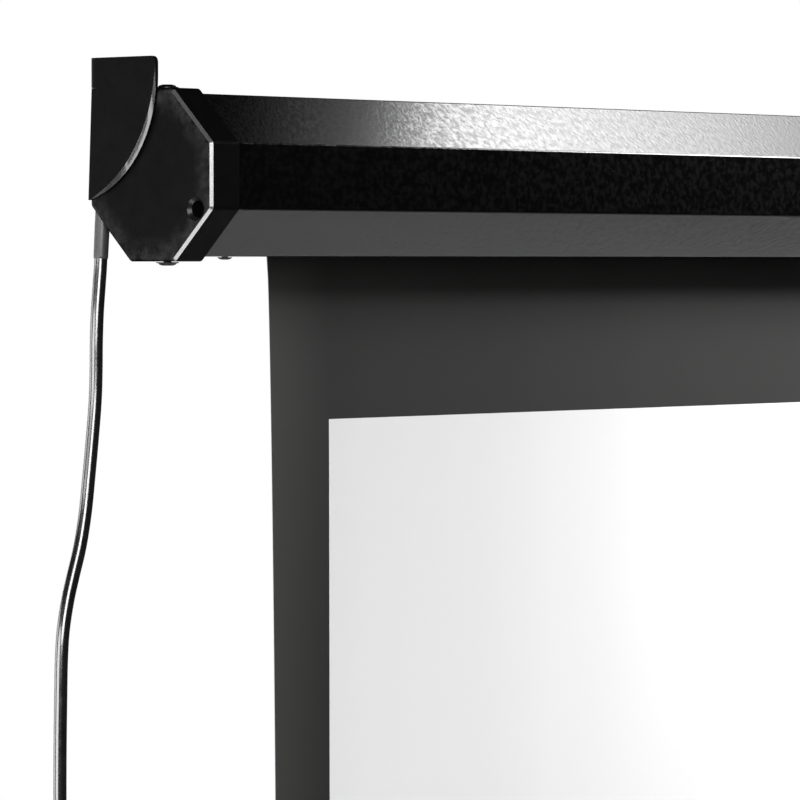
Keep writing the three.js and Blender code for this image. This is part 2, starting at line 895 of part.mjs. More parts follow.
function idlerPlug() {
  const bore = pinRadius + seatGap;
  const flangeRadius = rollerRadius + crownFlangeRise;
  const end = plugFlange + plugSleeve;
  const ring = turned([
    [0, bore],
    [0, flangeRadius],
    [plugFlange, flangeRadius],
    [plugFlange, innerRound],
    [end, innerRound],
    [end, bore],
    [0, bore],
  ], fineSides);
  return cut(ring, grooveRoom(plugFlange + cutOverrun, end, seatGap));
}

function idlerBush() {
  const bore = pinRadius + runGap;
  const body = bore + bushWall;
  const flangeRadius = body + bushFlangeRise;
  return turned([
    [0, bore],
    [0, body],
    [bushLength - bushFlange, body],
    [bushLength - bushFlange, flangeRadius],
    [bushLength, flangeRadius],
    [bushLength, bore],
    [0, bore],
  ]);
}

// Sheet: flat in the case and at the bar, its free sides curling forward between them
function hangingForward(x, z) {
  const free = -caseHalf;
  const down = THREE.MathUtils.clamp((free - z) / (free - barTopZ), 0, 1);
  const ease = Math.pow(Math.sin(Math.PI * down), 0.6);
  const edge = Math.min(x - motorEndMargin, motorEndMargin + sheetWidth - x);
  const curl = edgeCurl * Math.pow(Math.max(1 - edge / curlReach, 0), 2);
  const wave = waveHeight * Math.sin((2 * Math.PI * (x - motorEndMargin)) / waveLength);
  return -ease * (curl + wave);
}

function sheetSlab(columns, rows, backY, thickness) {
  const wide = columns.length;
  const positions = [];
  for (const depth of [backY - thickness, backY]) {
    for (const z of rows) {
      for (const x of columns) {
        positions.push(x, depth + hangingForward(x, z), z);
      }
    }
  }
  const faces = [];
  const layer = wide * rows.length;
  for (let r = 0; r + 1 < rows.length; r += 1) {
    for (let c = 0; c + 1 < wide; c += 1) {
      const a = r * wide + c;
      const b = a + 1;
      const d = a + wide;
      const e = d + 1;
      faces.push(a, d, b, b, d, e);
      faces.push(a + layer, b + layer, d + layer, b + layer, e + layer, d + layer);
    }
  }
  const rim = [];
  for (let c = 0; c < wide; c += 1) {
    rim.push(c);
  }
  for (let r = 1; r < rows.length; r += 1) {
    rim.push(r * wide + wide - 1);
  }
  for (let c = wide - 2; c >= 0; c -= 1) {
    rim.push((rows.length - 1) * wide + c);
  }
  for (let r = rows.length - 2; r > 0; r -= 1) {
    rim.push(r * wide);
  }
  rim.forEach((here, i) => {
    const next = rim[(i + 1) % rim.length];
    faces.push(here, next, next + layer, here, next + layer, here + layer);
  });
  const geometry = new THREE.BufferGeometry();
  geometry.setAttribute("position", new THREE.Float32BufferAttribute(positions, 3));
  geometry.setIndex(faces);
  return geometry;
}

function spread(from, to, steps) {
  return Array.from({ length: steps + 1 }, (_, k) => from + ((to - from) * k) / steps);
}

const pictureLeftX = motorEndMargin + sideBorder;
const pictureRightX = pictureLeftX + imageWidth;
const borderSteps = 4;
const pictureColumns = spread(pictureLeftX, pictureRightX, 24);
const pictureRows = spread(pictureTopZ, pictureTopZ - imageHeight, 9);

function maskingSheet() {
  const leftColumns = spread(motorEndMargin, pictureLeftX, borderSteps).slice(0, -1);
  const rightColumns = spread(pictureRightX, pictureRightX + sideBorder, borderSteps).slice(1);
  const sheetTopZ = -seatGap;
  const topRows = [sheetTopZ, -caseHalf, (pictureTopZ - caseHalf) / 2];
  return sheetSlab(
    [...leftColumns, ...pictureColumns, ...rightColumns],
    [...topRows, ...pictureRows, barTopZ + seatGap],
    sheetY + sheetThickness / 2,
    sheetThickness,
  );
}

function viewingSurface() {
  const backY = sheetY - sheetThickness / 2 - seatGap;
  return sheetSlab(pictureColumns, pictureRows, backY, pictureThickness);
}

// Weight bar
function weightBar(length) {
  const tube = pipe(barRadius, barRadius - barWall, 0, length, fineSides);
  const half = barSlot / 2;
  return cut(tube, block(-cutOverrun, length + cutOverrun, -half, half, 0, barRadius + cutOverrun));
}

function barCap() {
  const spigot = barRadius - barWall - seatGap;
  const rim = barRadius + barCapRise;
  const bevel = barCapThickness / 4;
  return turned([
    [0, 0],
    [0, rim - bevel],
    [bevel, rim],
    [barCapThickness, rim],
    [barCapThickness, spigot],
    [barCapThickness + barCapSpigot, spigot],
    [barCapThickness + barCapSpigot, 0],
  ], fineSides);
}

const hemLoopRadius = hemRodRadius + seatGap + sheetThickness;
const hemRodZ = barRadius - barWall - seatGap - hemLoopRadius;

function fabricHem(length) {
  const loop = pipe(hemLoopRadius, hemRodRadius + seatGap, 0, length, 16).translate(0, 0, hemRodZ);
  const half = sheetThickness / 2;
  const stemLow = hemRodZ + hemRodRadius + seatGap + sheetThickness / 2;
  const stem = block(0, length, -half, half, stemLow, barRadius - seatGap);
  return join(loop, stem);
}

// Control box, open at the side that its lid closes
function controlBox() {
  const outer = block(0, boxLength, 0, boxWidth, 0, boxHeight);
  const room = block(
    -cutOverrun,
    boxLength - boxWall,
    boxWall,
    boxWidth - boxWall,
    boxWall,
    boxHeight - boxWall,
  );
  return cut(outer, room);
}

function boxLid() {
  const plate = block(-lidThickness, 0, 0, boxWidth, 0, boxHeight);
  const inset = boxWall + seatGap;
  const rim = block(-lidThickness / 2, boxWall, inset, boxWidth - inset, inset, boxHeight - inset);
  return join(plate, rim);
}

// Relief block in the cap's lower rear corner, with its tapered nose
const reliefRoot = new THREE.Vector3(reliefX, reliefY, (reliefBlockTopZ + reliefBlockLowZ) / 2);
const reliefTip = new THREE.Vector3(reliefTipX, reliefY, reliefTipZ);

function cordRelief() {
  const body = common(reliefNotch(0), capOuter());
  const reach = reliefTip.distanceTo(reliefRoot);
  const lean = Math.asin((reliefX - reliefTipX) / reach);
  const nose = rod("z", reliefTipRadius, -reach, 0, reliefRootRadius).rotateY(lean);
  return join(body, nose.translate(...reliefRoot));
}

// Coil: one tube that spirals in on the wall side, climbs a layer while it turns back, and spirals out
const coilSweep = 2 * Math.PI * (coilTurns + coilStartTurnShare);
const coilStartAngle = Math.PI / 2 - 2 * Math.PI * coilStartTurnShare;
const routeEnd = new THREE.Vector3(...cordRoute[cordRoute.length - 1]);
const leadTurn = Math.PI / 2 - coilStartAngle;
const leadTopZ = routeEnd.z - coilLead * 2;
const coilTangent = new THREE.Vector3(Math.cos(coilStartAngle), 0, -Math.sin(coilStartAngle));
function leadPoint(turn) {
  return new THREE.Vector3(
    routeEnd.x + coilLeadBend * (1 - Math.cos(turn)),
    routeEnd.y,
    leadTopZ - coilLeadBend * Math.sin(turn),
  );
}
const coilEntry = leadPoint(leadTurn).addScaledVector(coilTangent, coilLead);
const coilStart = coilEntry.clone().addScaledVector(coilTangent, coilLead + seatGap);
const coilCentre = new THREE.Vector3(
  coilStart.x - coilOuterRadius * Math.sin(coilStartAngle),
  coilStart.y,
  coilStart.z - coilOuterRadius * Math.cos(coilStartAngle),
);

function coilPoints() {
  const steps = Math.ceil(coilStepsPerTurn * (coilTurns + coilStartTurnShare));
  const straight = (coilSweep - Math.PI) / 2;
  const inner = coilOuterRadius - (coilPitch * straight) / (2 * Math.PI);
  const points = [coilStart.clone().addScaledVector(coilTangent, -coilLead)];
  for (let k = 0; k <= steps; k += 1) {
    const swept = (coilSweep * k) / steps;
    const climb = THREE.MathUtils.clamp((swept - straight) / Math.PI, 0, 1);
    const away = Math.max(Math.abs(swept - coilSweep / 2) - Math.PI / 2, 0);
    const dip = coilDip_share * coilPitch * Math.sin(Math.PI * climb);
    const radius = inner - dip + (coilPitch * away) / (2 * Math.PI);
    const lift = (1 - Math.cos(Math.PI * climb)) / 2;
    const angle = coilStartAngle + swept;
    points.push(
      new THREE.Vector3(
        coilCentre.x + radius * Math.sin(angle),
        coilCentre.y - coilLayerStep * lift,
        coilCentre.z + radius * Math.cos(angle),
      ),
    );
  }
  const end = points[points.length - 1];
  const tailSteps = 3;
  for (let k = 1; k <= tailSteps; k += 1) {
    points.push(new THREE.Vector3(end.x, end.y, end.z - (coilTail * k) / tailSteps));
  }
  return points;
}

function leastGap(points, diameter) {
  let least = Infinity;
  const apart = coilStepsPerTurn / 2;
  points.forEach((here, i) => {
    for (let j = i + apart; j + 1 < points.length; j += 1) {
      const run = new THREE.Line3(points[j], points[j + 1]);
      const near = run.closestPointToPoint(here, true, new THREE.Vector3());
      least = Math.min(least, near.distanceTo(here) - diameter);
    }
  });
  return least;
}

function routeLength(points) {
  return points.slice(1).reduce((sum, point, i) => sum + point.distanceTo(points[i]), 0);
}

const coil = coilPoints();
const coilEnd = coil[coil.length - 1];
console.log(`cord coil: least gap to itself ${leastGap(coil, 2 * cordRadius).toFixed(2)} mm`);

function hangingCordPoints() {
  const along = reliefTip.clone().sub(reliefRoot).normalize();
  const start = reliefTip.clone().addScaledVector(along, seatGap);
  const route = cordRoute.map((p) => new THREE.Vector3(...p));
  const leadSteps = 4;
  const bend = Array.from({ length: leadSteps + 1 }, (_, k) => leadPoint((leadTurn * k) / leadSteps));
  const straight = coilEntry.clone().addScaledVector(coilTangent, -coilLead / 2);
  return [start, ...route, ...bend, straight, coilEntry];
}

const hanging = hangingCordPoints();
const cordLength = routeLength(hanging) + routeLength(coil);
console.log(`mains cord: ${cordLength.toFixed(0)} mm from the relief to the plug`);

function coilTie() {
  const half = tieWidth / 2;
  const held = coil.filter((p) => p.x < coilCentre.x && Math.abs(p.z - coilCentre.z) < tieWidth);
  const reaches = held.map((p) => coilCentre.x - p.x);
  const near = cordRadius + tieGap;
  const low = Math.min(...reaches) - near;
  const high = Math.max(...reaches) + near;
  const front = -coilLayerStep - near;
  const t = tieThickness;
  const band = block(-high - t, -low + t, front - t, near + t, -half, half);
  return cut(band, block(-high, -low, front, near, -half - cutOverrun, half + cutOverrun));
}

// Plug: moulded body with a ribless neck, two blades and an earth pin
function roundedBlock(width, depth, z0, z1, corner) {
  const w = width / 2;
  const d = depth / 2;
  const shape = new THREE.Shape();
  shape.moveTo(-w + corner, -d);
  shape.lineTo(w - corner, -d);
  shape.quadraticCurveTo(w, -d, w, -d + corner);
  shape.lineTo(w, d - corner);
  shape.quadraticCurveTo(w, d, w - corner, d);
  shape.lineTo(-w + corner, d);
  shape.quadraticCurveTo(-w, d, -w, d - corner);
  shape.lineTo(-w, -d + corner);
  shape.quadraticCurveTo(-w, -d, -w + corner, -d);
  const options = { depth: z1 - z0, bevelEnabled: false, curveSegments: bendSteps };
  return new THREE.ExtrudeGeometry(shape, options).translate(0, 0, z0);
}

function bladePlaces() {
  return [-bladeSpacing / 2, bladeSpacing / 2];
}

function plugBody() {
  const bodyTop = -plugNeckLength;
  const bodyLow = bodyTop - plugHeight;
  const body = roundedBlock(plugWidth, plugDepth, bodyLow, bodyTop - plugShoulder, plugCorner);
  const shoulderWidth = Math.min(plugWidth, plugDepth) / 2 - seatGap;
  const shoulder = rod("z", shoulderWidth, bodyTop - plugShoulder * 2, bodyTop, plugNeckRadius);
  const neck = rod("z", plugNeckRadius, bodyTop - plugShoulder, 0, cordRadius + seatGap);
  const clear = seatGap;
  const thick = bladeThickness / 2 + clear;
  const wide = bladeWidth / 2 + clear;
  const slots = bladePlaces().map((y) =>
    block(
      bladeOffset - wide,
      bladeOffset + wide,
      y - thick,
      y + thick,
      bodyLow - cutOverrun,
      bodyLow + bladeRoot + clear,
    ),
  );
  const pin = rod("z", earthRadius + clear, bodyLow - cutOverrun, bodyLow + bladeRoot + clear);
  return cut(join(body, shoulder, neck), ...slots, pin.translate(bladeOffset - earthOffset, 0, 0));
}

function plugBlade() {
  const tip = bladeLength / 8;
  const wide = bladeWidth / 2;
  const narrow = bladeWidth / 3;
  const thick = bladeThickness / 2;
  const body = block(-wide, wide, -thick, thick, tip - bladeLength, bladeRoot);
  const nose = block(-narrow, narrow, -thick, thick, -bladeLength, tip);
  return join(body, nose);
}

function earthPin() {
  const tip = earthRadius;
  return turned([
    [-bladeRoot, 0],
    [-bladeRoot, earthRadius],
    [earthLength - tip, earthRadius],
    [earthLength, earthRadius / 2],
    [earthLength, 0],
  ], 16).rotateY(Math.PI / 2);
}

// Assembly
const housing = new THREE.Group();
housing.add(piece("case_shell", caseShell(), hammeredBlack));
housing.add(piece("left_end_cap", endCap(true), capBlack));
housing.add(piece("left_wall_bracket", wallBracket(), bracketBlack));

const rightEnd = new THREE.Group();
rightEnd.position.x = overallLength;
rightEnd.scale.x = -1;
rightEnd.add(piece("right_end_cap", endCap(false), capBlack));
rightEnd.add(piece("right_wall_bracket", wallBracket(), bracketBlack));
housing.add(rightEnd);

function addEndFasteners(group, side) {
  const nutX = capFace + seatGap;
  group.add(at(piece(`${side}_bracket_nut_upper`, nut(), zincSteel), nutX, upperStudY, upperStudZ));
  group.add(at(piece(`${side}_bracket_nut_lower`, nut(), zincSteel), nutX, lowerStudY, lowerStudZ));
  const topZ = capTop + seatGap;
  const lowZ = -capHalf - seatGap;
  group.add(at(piece(`${side}_cap_screw_top`, capScrew(), screwBlack), capScrewX, 0, topZ));
  const low = at(piece(`${side}_cap_screw_bottom`, capScrew(), screwBlack), capScrewX, 0, lowZ);
  low.rotation.x = Math.PI;
  group.add(low);
}
addEndFasteners(housing, "left");
addEndFasteners(rightEnd, "right");

function addCarrier(name, geometry, plateX, rivetX) {
  housing.add(at(piece(`${name}_bracket`, geometry, zincSteel), plateX, 0, 0));
  const headAt = caseHalf + seatGap;
  const low = at(piece(`${name}_bracket_rivet_bottom`, rivet(), screwBlack), rivetX, plateTabY, -headAt);
  low.rotation.x = Math.PI;
  const rear = at(piece(`${name}_bracket_rivet_rear`, rivet(), screwBlack), rivetX, headAt, 0);
  rear.rotation.x = -Math.PI / 2;
  housing.add(low, rear);
}
addCarrier("motor", motorPlate(), motorPlateX, motorRivetX);
addCarrier("idler", idlerPlate(), overallLength - idlerPlateInset, idlerRivetX);

// Motor, standing still inside the roller
const headX = motorPlateX + plateSheet + seatGap;
const motorX = headX + headLength + seatGap;
housing.add(at(piece("motor_head", motorHead(), darkPlastic), headX, 0, 0));
headScrewPlaces().forEach(([y, z], i) => {
  const screw = piece(`motor_head_screw_${i + 1}`, headScrew(), zincSteel);
  housing.add(at(screw, motorPlateX, y, z));
});
const motor = new THREE.Group();
motor.position.set(motorX, rollerY, 0);
const motorBore = motorRadius - motorWall;
const insideMotor = motorBore - seatGap;
motor.add(piece("motor_tube", pipe(motorRadius, motorBore, 0, motorLength, fineSides), zincSteel));
let motorAt = 0;
function stack(name, radius, length, material) {
  motor.add(at(piece(name, rod("x", radius, 0, length), material), motorAt, 0, 0));
  motorAt += length + seatGap;
}
stack("limit_switch_unit", insideMotor, limitUnitLength, paleNylon);
stack("run_capacitor", capacitorRadius, capacitorLength, darkPlastic);
stack("motor_core", insideMotor, motorCoreLength, copperCore);
stack("gearbox", insideMotor, motorLength - motorAt, zincSteel);
housing.add(motor);

// Control box and leads in the left end
const boxX = motorPlateX - headScrewHeadHeight - 2 * seatGap - boxLength;
housing.add(at(piece("control_box", controlBox(), darkPlastic), boxX, boxFrontY, boxLowZ));
housing.add(at(piece("control_box_lid", boxLid(), darkPlastic), boxX - seatGap, boxFrontY, boxLowZ));

function motorLead() {
  const x = headX - seatGap - motorLeadBend - plateSheet;
  const z = boxLowZ - motorLeadDrop;
  const bend = [0, 1, 2, 3].map((k) => {
    const turn = (Math.PI / 2) * (k / 3);
    return new THREE.Vector3(
      x + motorLeadBend * (1 - Math.cos(turn)),
      motorLeadY,
      z + motorLeadBend * (1 - Math.sin(turn)),
    );
  });
  return tubeAlong(
    [
      new THREE.Vector3(x, motorLeadY, boxLowZ - seatGap),
      ...bend,
      new THREE.Vector3(headX - seatGap, motorLeadY, z),
    ],
    motorLeadRadius,
    8,
    12,
  );
}
housing.add(piece("motor_lead", motorLead(), cordBlack));

function supplyLead() {
  const startY = reliefBlockFrontY - seatGap;
  const endX = boxX + boxLength / 2;
  const endY = boxFrontY + boxWidth / 2;
  const endZ = boxLowZ - seatGap;
  const startX = capFace + seatGap + supplyLeadRadius;
  const run = supplyLeadRadius * 2;
  const z = reliefRoot.z;
  return tubeAlong(
    [
      new THREE.Vector3(startX, startY, z),
      new THREE.Vector3(startX, startY - run, z),
      new THREE.Vector3((startX + endX) / 2, endY + run, z + run / 3),
      new THREE.Vector3(endX, endY, endZ - run),
      new THREE.Vector3(endX, endY, endZ),
    ],
    supplyLeadRadius,
    8,
    12,
  );
}
housing.add(piece("supply_lead", supplyLead(), cordBlack));

const idlerPlateX = overallLength - idlerPlateInset;
const bushEndX = idlerPlateX + plateSheet + seatGap + bushFlange;
const bushX = bushEndX - bushLength;
housing.add(at(piece("idler_bush", idlerBush(), paleNylon), bushX, rollerY, 0));

// Roller
const roller = new THREE.Group();
roller.position.set(0, rollerY, 0);
const tubeLength = rollerEndX - rollerStartX;
roller.add(at(piece("roller_tube", rollerTube(tubeLength), plainAluminium), rollerStartX, 0, 0));
roller.add(at(piece("crown_ring", crownRing(), paleNylon), rollerStartX - crownFlange - seatGap, 0, 0));
const shaftX = motorX + motorLength + seatGap;
roller.add(at(piece("output_shaft", outputShaft(), zincSteel), shaftX, 0, 0));
roller.add(at(piece("drive_wheel", driveWheel(), paleNylon), shaftX + wheelInset, 0, 0));
const wound = piece("wound_sheet", drawn(woundSheet(), 0, sheetWidth), maskingBlack);
roller.add(at(wound, motorEndMargin, 0, 0));
const clampFloor = rollerRadius - grooveDepth + seatGap;
const clampHalf = grooveWidth / 2 - seatGap;
const clamp = block(0, sheetWidth, -clampFloor - clampThickness, -clampFloor, -clampHalf, clampHalf);
roller.add(at(piece("sheet_clamp_strip", clamp, darkPlastic), motorEndMargin, 0, 0));
const plugFaceX = rollerEndX + seatGap + plugFlange;
const idler = new THREE.Group();
idler.position.x = plugFaceX;
idler.scale.x = -1;
idler.add(piece("idler_plug", idlerPlug(), paleNylon));
const pinOut = plugFaceX - idlerPlateX - pinPastPlate;
idler.add(piece("idler_pin", rod("x", pinRadius, pinOut, pinInPlug), zincSteel));
const ringRadius = pinRadius + seatGap;
const ring = pipe(ringRadius + ringRise, ringRadius, 0, ringThickness);
const ringX = plugFaceX - bushEndX - seatGap - ringThickness;
idler.add(at(piece("idler_retaining_ring", ring, screwBlack), ringX, 0, 0));
roller.add(idler);

// Limit adjuster
const adjusterLength = headX + adjusterDepth - seatGap - adjusterInset;
const adjuster = piece("limit_adjuster", limitAdjuster(adjusterLength), darkPlastic);
at(adjuster, adjusterInset, accessY, accessZ);

// Sheet and weight bar
const curtain = new THREE.Group();
curtain.add(piece("masking_sheet", maskingSheet(), maskingBlack));
curtain.add(piece("viewing_surface", viewingSurface(), mattWhite));
const bar = new THREE.Group();
bar.position.set(motorEndMargin - barOverhang, sheetY, barZ);
const barLength = sheetWidth + 2 * barOverhang;
bar.add(piece("weight_bar", weightBar(barLength), hammeredBlack));
const inBar = barCapSpigot + 2 * seatGap;
bar.add(at(piece("fabric_hem", fabricHem(barLength - 2 * inBar), maskingBlack), inBar, 0, 0));
const hemRod = rod("x", hemRodRadius, inBar, barLength - inBar, hemRodRadius, 16);
bar.add(at(piece("hem_rod", hemRod, zincSteel), 0, 0, hemRodZ));
const barCapOut = barCapThickness + seatGap;
bar.add(at(piece("weight_bar_cap_left", barCap(), capBlack), -barCapOut, 0, 0));
const farCap = at(piece("weight_bar_cap_right", barCap(), capBlack), barLength + barCapOut, 0, 0);
farCap.rotation.z = Math.PI;
bar.add(farCap);
curtain.add(bar);

// Cord, coil and plug
const supply = new THREE.Group();
supply.add(piece("cord_relief", cordRelief(), cordBlack));
const cordSteps = Math.round(routeLength(hanging) / (4 * cordRadius));
supply.add(piece("mains_cord", tubeAlong(hanging, cordRadius, cordSides, cordSteps), cordBlack));
supply.add(piece("cord_coil", woundTube(coil, cordRadius, coilSides), cordBlack));
supply.add(at(piece("coil_tie", coilTie(), darkPlastic), coilCentre.x, coilCentre.y, coilCentre.z));
const plug = new THREE.Group();
plug.position.set(coilEnd.x, coilEnd.y, coilEnd.z - seatGap);
plug.add(piece("plug_body", plugBody(), cordBlack));
const bladeZ = -plugNeckLength - plugHeight;
bladePlaces().forEach((y, i) => {
  plug.add(at(piece(`plug_blade_${i + 1}`, plugBlade(), brassPlate), bladeOffset, y, bladeZ));
});
plug.add(at(piece("plug_earth_pin", earthPin(), brassPlate), bladeOffset - earthOffset, 0, bladeZ));
supply.add(plug);

// The origin lies on the left bracket's wall face
const screen = new THREE.Group();
screen.add(housing, roller, adjuster, curtain, supply);
screen.position.set(-flangeCentreX, -capHalf, -flangeCentreZ);

const group = new THREE.Group();
group.add(screen);

export default group;
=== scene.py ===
import math

import bmesh
import bpy
from mathutils import Matrix, Vector
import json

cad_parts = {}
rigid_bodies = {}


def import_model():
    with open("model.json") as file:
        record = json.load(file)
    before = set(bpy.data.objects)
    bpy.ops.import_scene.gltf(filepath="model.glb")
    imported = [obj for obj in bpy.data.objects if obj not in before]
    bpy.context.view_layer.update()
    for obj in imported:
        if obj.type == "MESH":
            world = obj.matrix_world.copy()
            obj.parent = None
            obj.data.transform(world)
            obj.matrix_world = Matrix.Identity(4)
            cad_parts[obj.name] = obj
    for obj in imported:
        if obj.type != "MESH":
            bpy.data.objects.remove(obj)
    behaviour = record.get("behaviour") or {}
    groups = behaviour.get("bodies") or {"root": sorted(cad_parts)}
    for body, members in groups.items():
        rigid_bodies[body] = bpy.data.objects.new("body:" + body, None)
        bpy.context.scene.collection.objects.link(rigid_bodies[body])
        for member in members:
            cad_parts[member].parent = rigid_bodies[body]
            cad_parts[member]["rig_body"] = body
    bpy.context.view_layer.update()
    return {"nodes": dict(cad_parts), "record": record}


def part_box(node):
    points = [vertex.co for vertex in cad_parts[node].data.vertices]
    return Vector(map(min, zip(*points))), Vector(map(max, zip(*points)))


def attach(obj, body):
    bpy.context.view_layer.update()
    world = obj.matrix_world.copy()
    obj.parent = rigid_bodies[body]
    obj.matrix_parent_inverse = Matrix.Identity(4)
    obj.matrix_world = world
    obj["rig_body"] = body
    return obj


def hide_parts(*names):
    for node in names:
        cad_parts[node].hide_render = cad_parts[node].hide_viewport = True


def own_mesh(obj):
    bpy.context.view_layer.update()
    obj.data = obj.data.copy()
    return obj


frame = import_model()
nodes = frame["nodes"]
collection = bpy.context.scene.collection

# Lengths below are millimetres in the case's own frame: X from the left cap's face, Y = 0 and Z = 0 at
# the case's centre line. here() turns them into the row frame, in metres.
ORIGIN = (15.2, 42.5, 52.5)
CASE_LENGTH = 2140


def here(x, y, z):
    return Vector(((x - ORIGIN[0]) / 1000, (y - ORIGIN[1]) / 1000, (z - ORIGIN[2]) / 1000))


# Camera: where the photograph was taken from. The focal length is in pixels of the picture.
CAMERA_EYE = (-1738.5, -1698.5, -42.6)
CAMERA_AIM = (188.8, 0, -115.7)
FOCAL_PIXELS = 4859
PICTURE_PIXELS = 800
SENSOR_WIDTH = 36
CLIP_END = 50


def add_camera():
    data = bpy.data.cameras.new("camera")
    data.sensor_width = SENSOR_WIDTH
    data.lens = FOCAL_PIXELS / PICTURE_PIXELS * SENSOR_WIDTH
    data.clip_end = CLIP_END
    cam = bpy.data.objects.new("camera", data)
    collection.objects.link(cam)
    eye = here(*CAMERA_EYE)
    aim = here(*CAMERA_AIM)
    cam.location = eye
    cam.rotation_euler = (aim - eye).to_track_quat("-Z", "Y").to_euler()
    bpy.context.scene.camera = cam


add_camera()

# Cord: one lead along the route of the CAD's hanging cord and its coil
CORD_RADIUS = 3.5
ROUTE = [
    (3.98, 38.6, -40.3),
    (3.77, 38.6, -43.5),
    (3.4, 38.6, -48),
    (2.45, 38.6, -57),
    (1.3, 38.6, -69),
    (0.6, 38.6, -84),
    (0.4, 38.6, -98),
    (-0.3, 38.6, -113),
    (-2.3, 38.6, -131),
    (-4.9, 38.6, -151),
    (-7.5, 38.6, -169),
    (-11.4, 38.5, -186),
    (-16.3, 38.3, -200),
    (-20.7, 38, -213),
    (-24.2, 37.7, -228),
    (-25.8, 37.4, -244),
    (-26.6, 37.1, -263),
    (-27.1, 37, -282),
    (-27.3, 37, -300),
]
COIL_OUTER = 51
COIL_PITCH = 7.9
COIL_STEP = 7.9
COIL_DIP = 0.15
COIL_TURNS = 6
COIL_START = 65 / 360
LEAD_BEND = 30
LEAD = 2 * CORD_RADIUS
JOIN_GAP = 0.3
TAIL = 40
ROUTE_STEPS = 4
LEAD_STEPS = 6
STEPS_PER_TURN = 48
CORD_ROUNDNESS = 4


def catmull(points, per_span):
    out = []
    count = len(points)
    for i in range(count - 1):
        p0 = points[max(i - 1, 0)]
        p1 = points[i]
        p2 = points[i + 1]
        p3 = points[min(i + 2, count - 1)]
        for k in range(per_span):
            t = k / per_span
            a = 2 * p1
            b = p2 - p0
            c = 2 * p0 - 5 * p1 + 4 * p2 - p3
            d = 3 * p1 - p0 - 3 * p2 + p3
            out.append((a + b * t + c * t * t + d * t * t * t) / 2)
    out.append(points[-1])
    return out


def cord_route():
    start_angle = math.pi / 2 - 2 * math.pi * COIL_START
    lead_turn = math.pi / 2 - start_angle
    end = Vector(ROUTE[-1])
    top = end.z - 2 * LEAD
    tangent = Vector((math.cos(start_angle), 0, -math.sin(start_angle)))

    def lead(turn):
        x = end.x + LEAD_BEND * (1 - math.cos(turn))
        return Vector((x, end.y, top - LEAD_BEND * math.sin(turn)))

    entry = lead(lead_turn) + tangent * LEAD
    hanging = [Vector(p) for p in ROUTE]
    hanging += [lead(lead_turn * k / LEAD_STEPS) for k in range(LEAD_STEPS + 1)]
    hanging.append(entry)
    start = entry + tangent * (LEAD + JOIN_GAP)
    centre = start - Vector((math.sin(start_angle), 0, math.cos(start_angle))) * COIL_OUTER
    sweep = 2 * math.pi * (COIL_TURNS + COIL_START)
    straight = (sweep - math.pi) / 2
    inner = COIL_OUTER - COIL_PITCH * straight / (2 * math.pi)
    steps = STEPS_PER_TURN * COIL_TURNS
    loops = []
    for k in range(steps + 1):
        swept = sweep * k / steps
        climb = min(max((swept - straight) / math.pi, 0), 1)
        away = max(abs(swept - sweep / 2) - math.pi / 2, 0)
        dip = COIL_DIP * COIL_PITCH * math.sin(math.pi * climb)
        radius = inner - dip + COIL_PITCH * away / (2 * math.pi)
        lift = (1 - math.cos(math.pi * climb)) / 2
        angle = start_angle + swept
        out = Vector((radius * math.sin(angle), -COIL_STEP * lift, radius * math.cos(angle)))
        loops.append(centre + out)
    tail_end = loops[-1] - Vector((0, 0, TAIL))
    tail = [loops[-1].lerp(tail_end, 0.5), tail_end]
    return catmull(hanging, ROUTE_STEPS) + loops + tail


cord_line = cord_route()


# The bevel is 1 m deep, so each point's radius is the cord's own in metres
def add_curve_tube(name, points, radius):
    data = bpy.data.curves.new(name, "CURVE")
    data.dimensions = "3D"
    data.bevel_depth = 1
    data.bevel_resolution = CORD_ROUNDNESS
    data.use_fill_caps = True
    spline = data.splines.new("POLY")
    spline.points.add(len(points) - 1)
    for slot, p in zip(spline.points, points):
        slot.co = (*here(*p), 1)
        slot.radius = radius / 1000
    spline.use_smooth = True
    piece = bpy.data.objects.new(name, data)
    collection.objects.link(piece)
    return piece


cord = add_curve_tube("mains_lead", cord_line, CORD_RADIUS)
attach(cord, "housing")
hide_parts("mains_cord", "cord_coil")


# Materials. Some follow the case's ends and the sheet's width; MARGIN is where the sheet starts along
# the case. The cap's flats lie CAP_FLAT from the centre line, and on its slopes the two offsets add up
# to CAP_SLOPE.
MARGIN = 98
SHEET_WIDTH = 1954
BORDER = 47
SHEET_MIDDLE = (MARGIN + SHEET_WIDTH / 2 - ORIGIN[0]) / 1000
SHEET_HALF = SHEET_WIDTH / 2000
CASE_MIDDLE = (CASE_LENGTH / 2 - ORIGIN[0]) / 1000
CAP_FLAT = 42.5
CAP_SLOPE = 59
CAP_FACE_DEPTH = 0.8
# Painted sheen: the cap's end face is lighter by up to this much in mottled patches near its rim
CAP_EDGE_SHEEN = 0.032


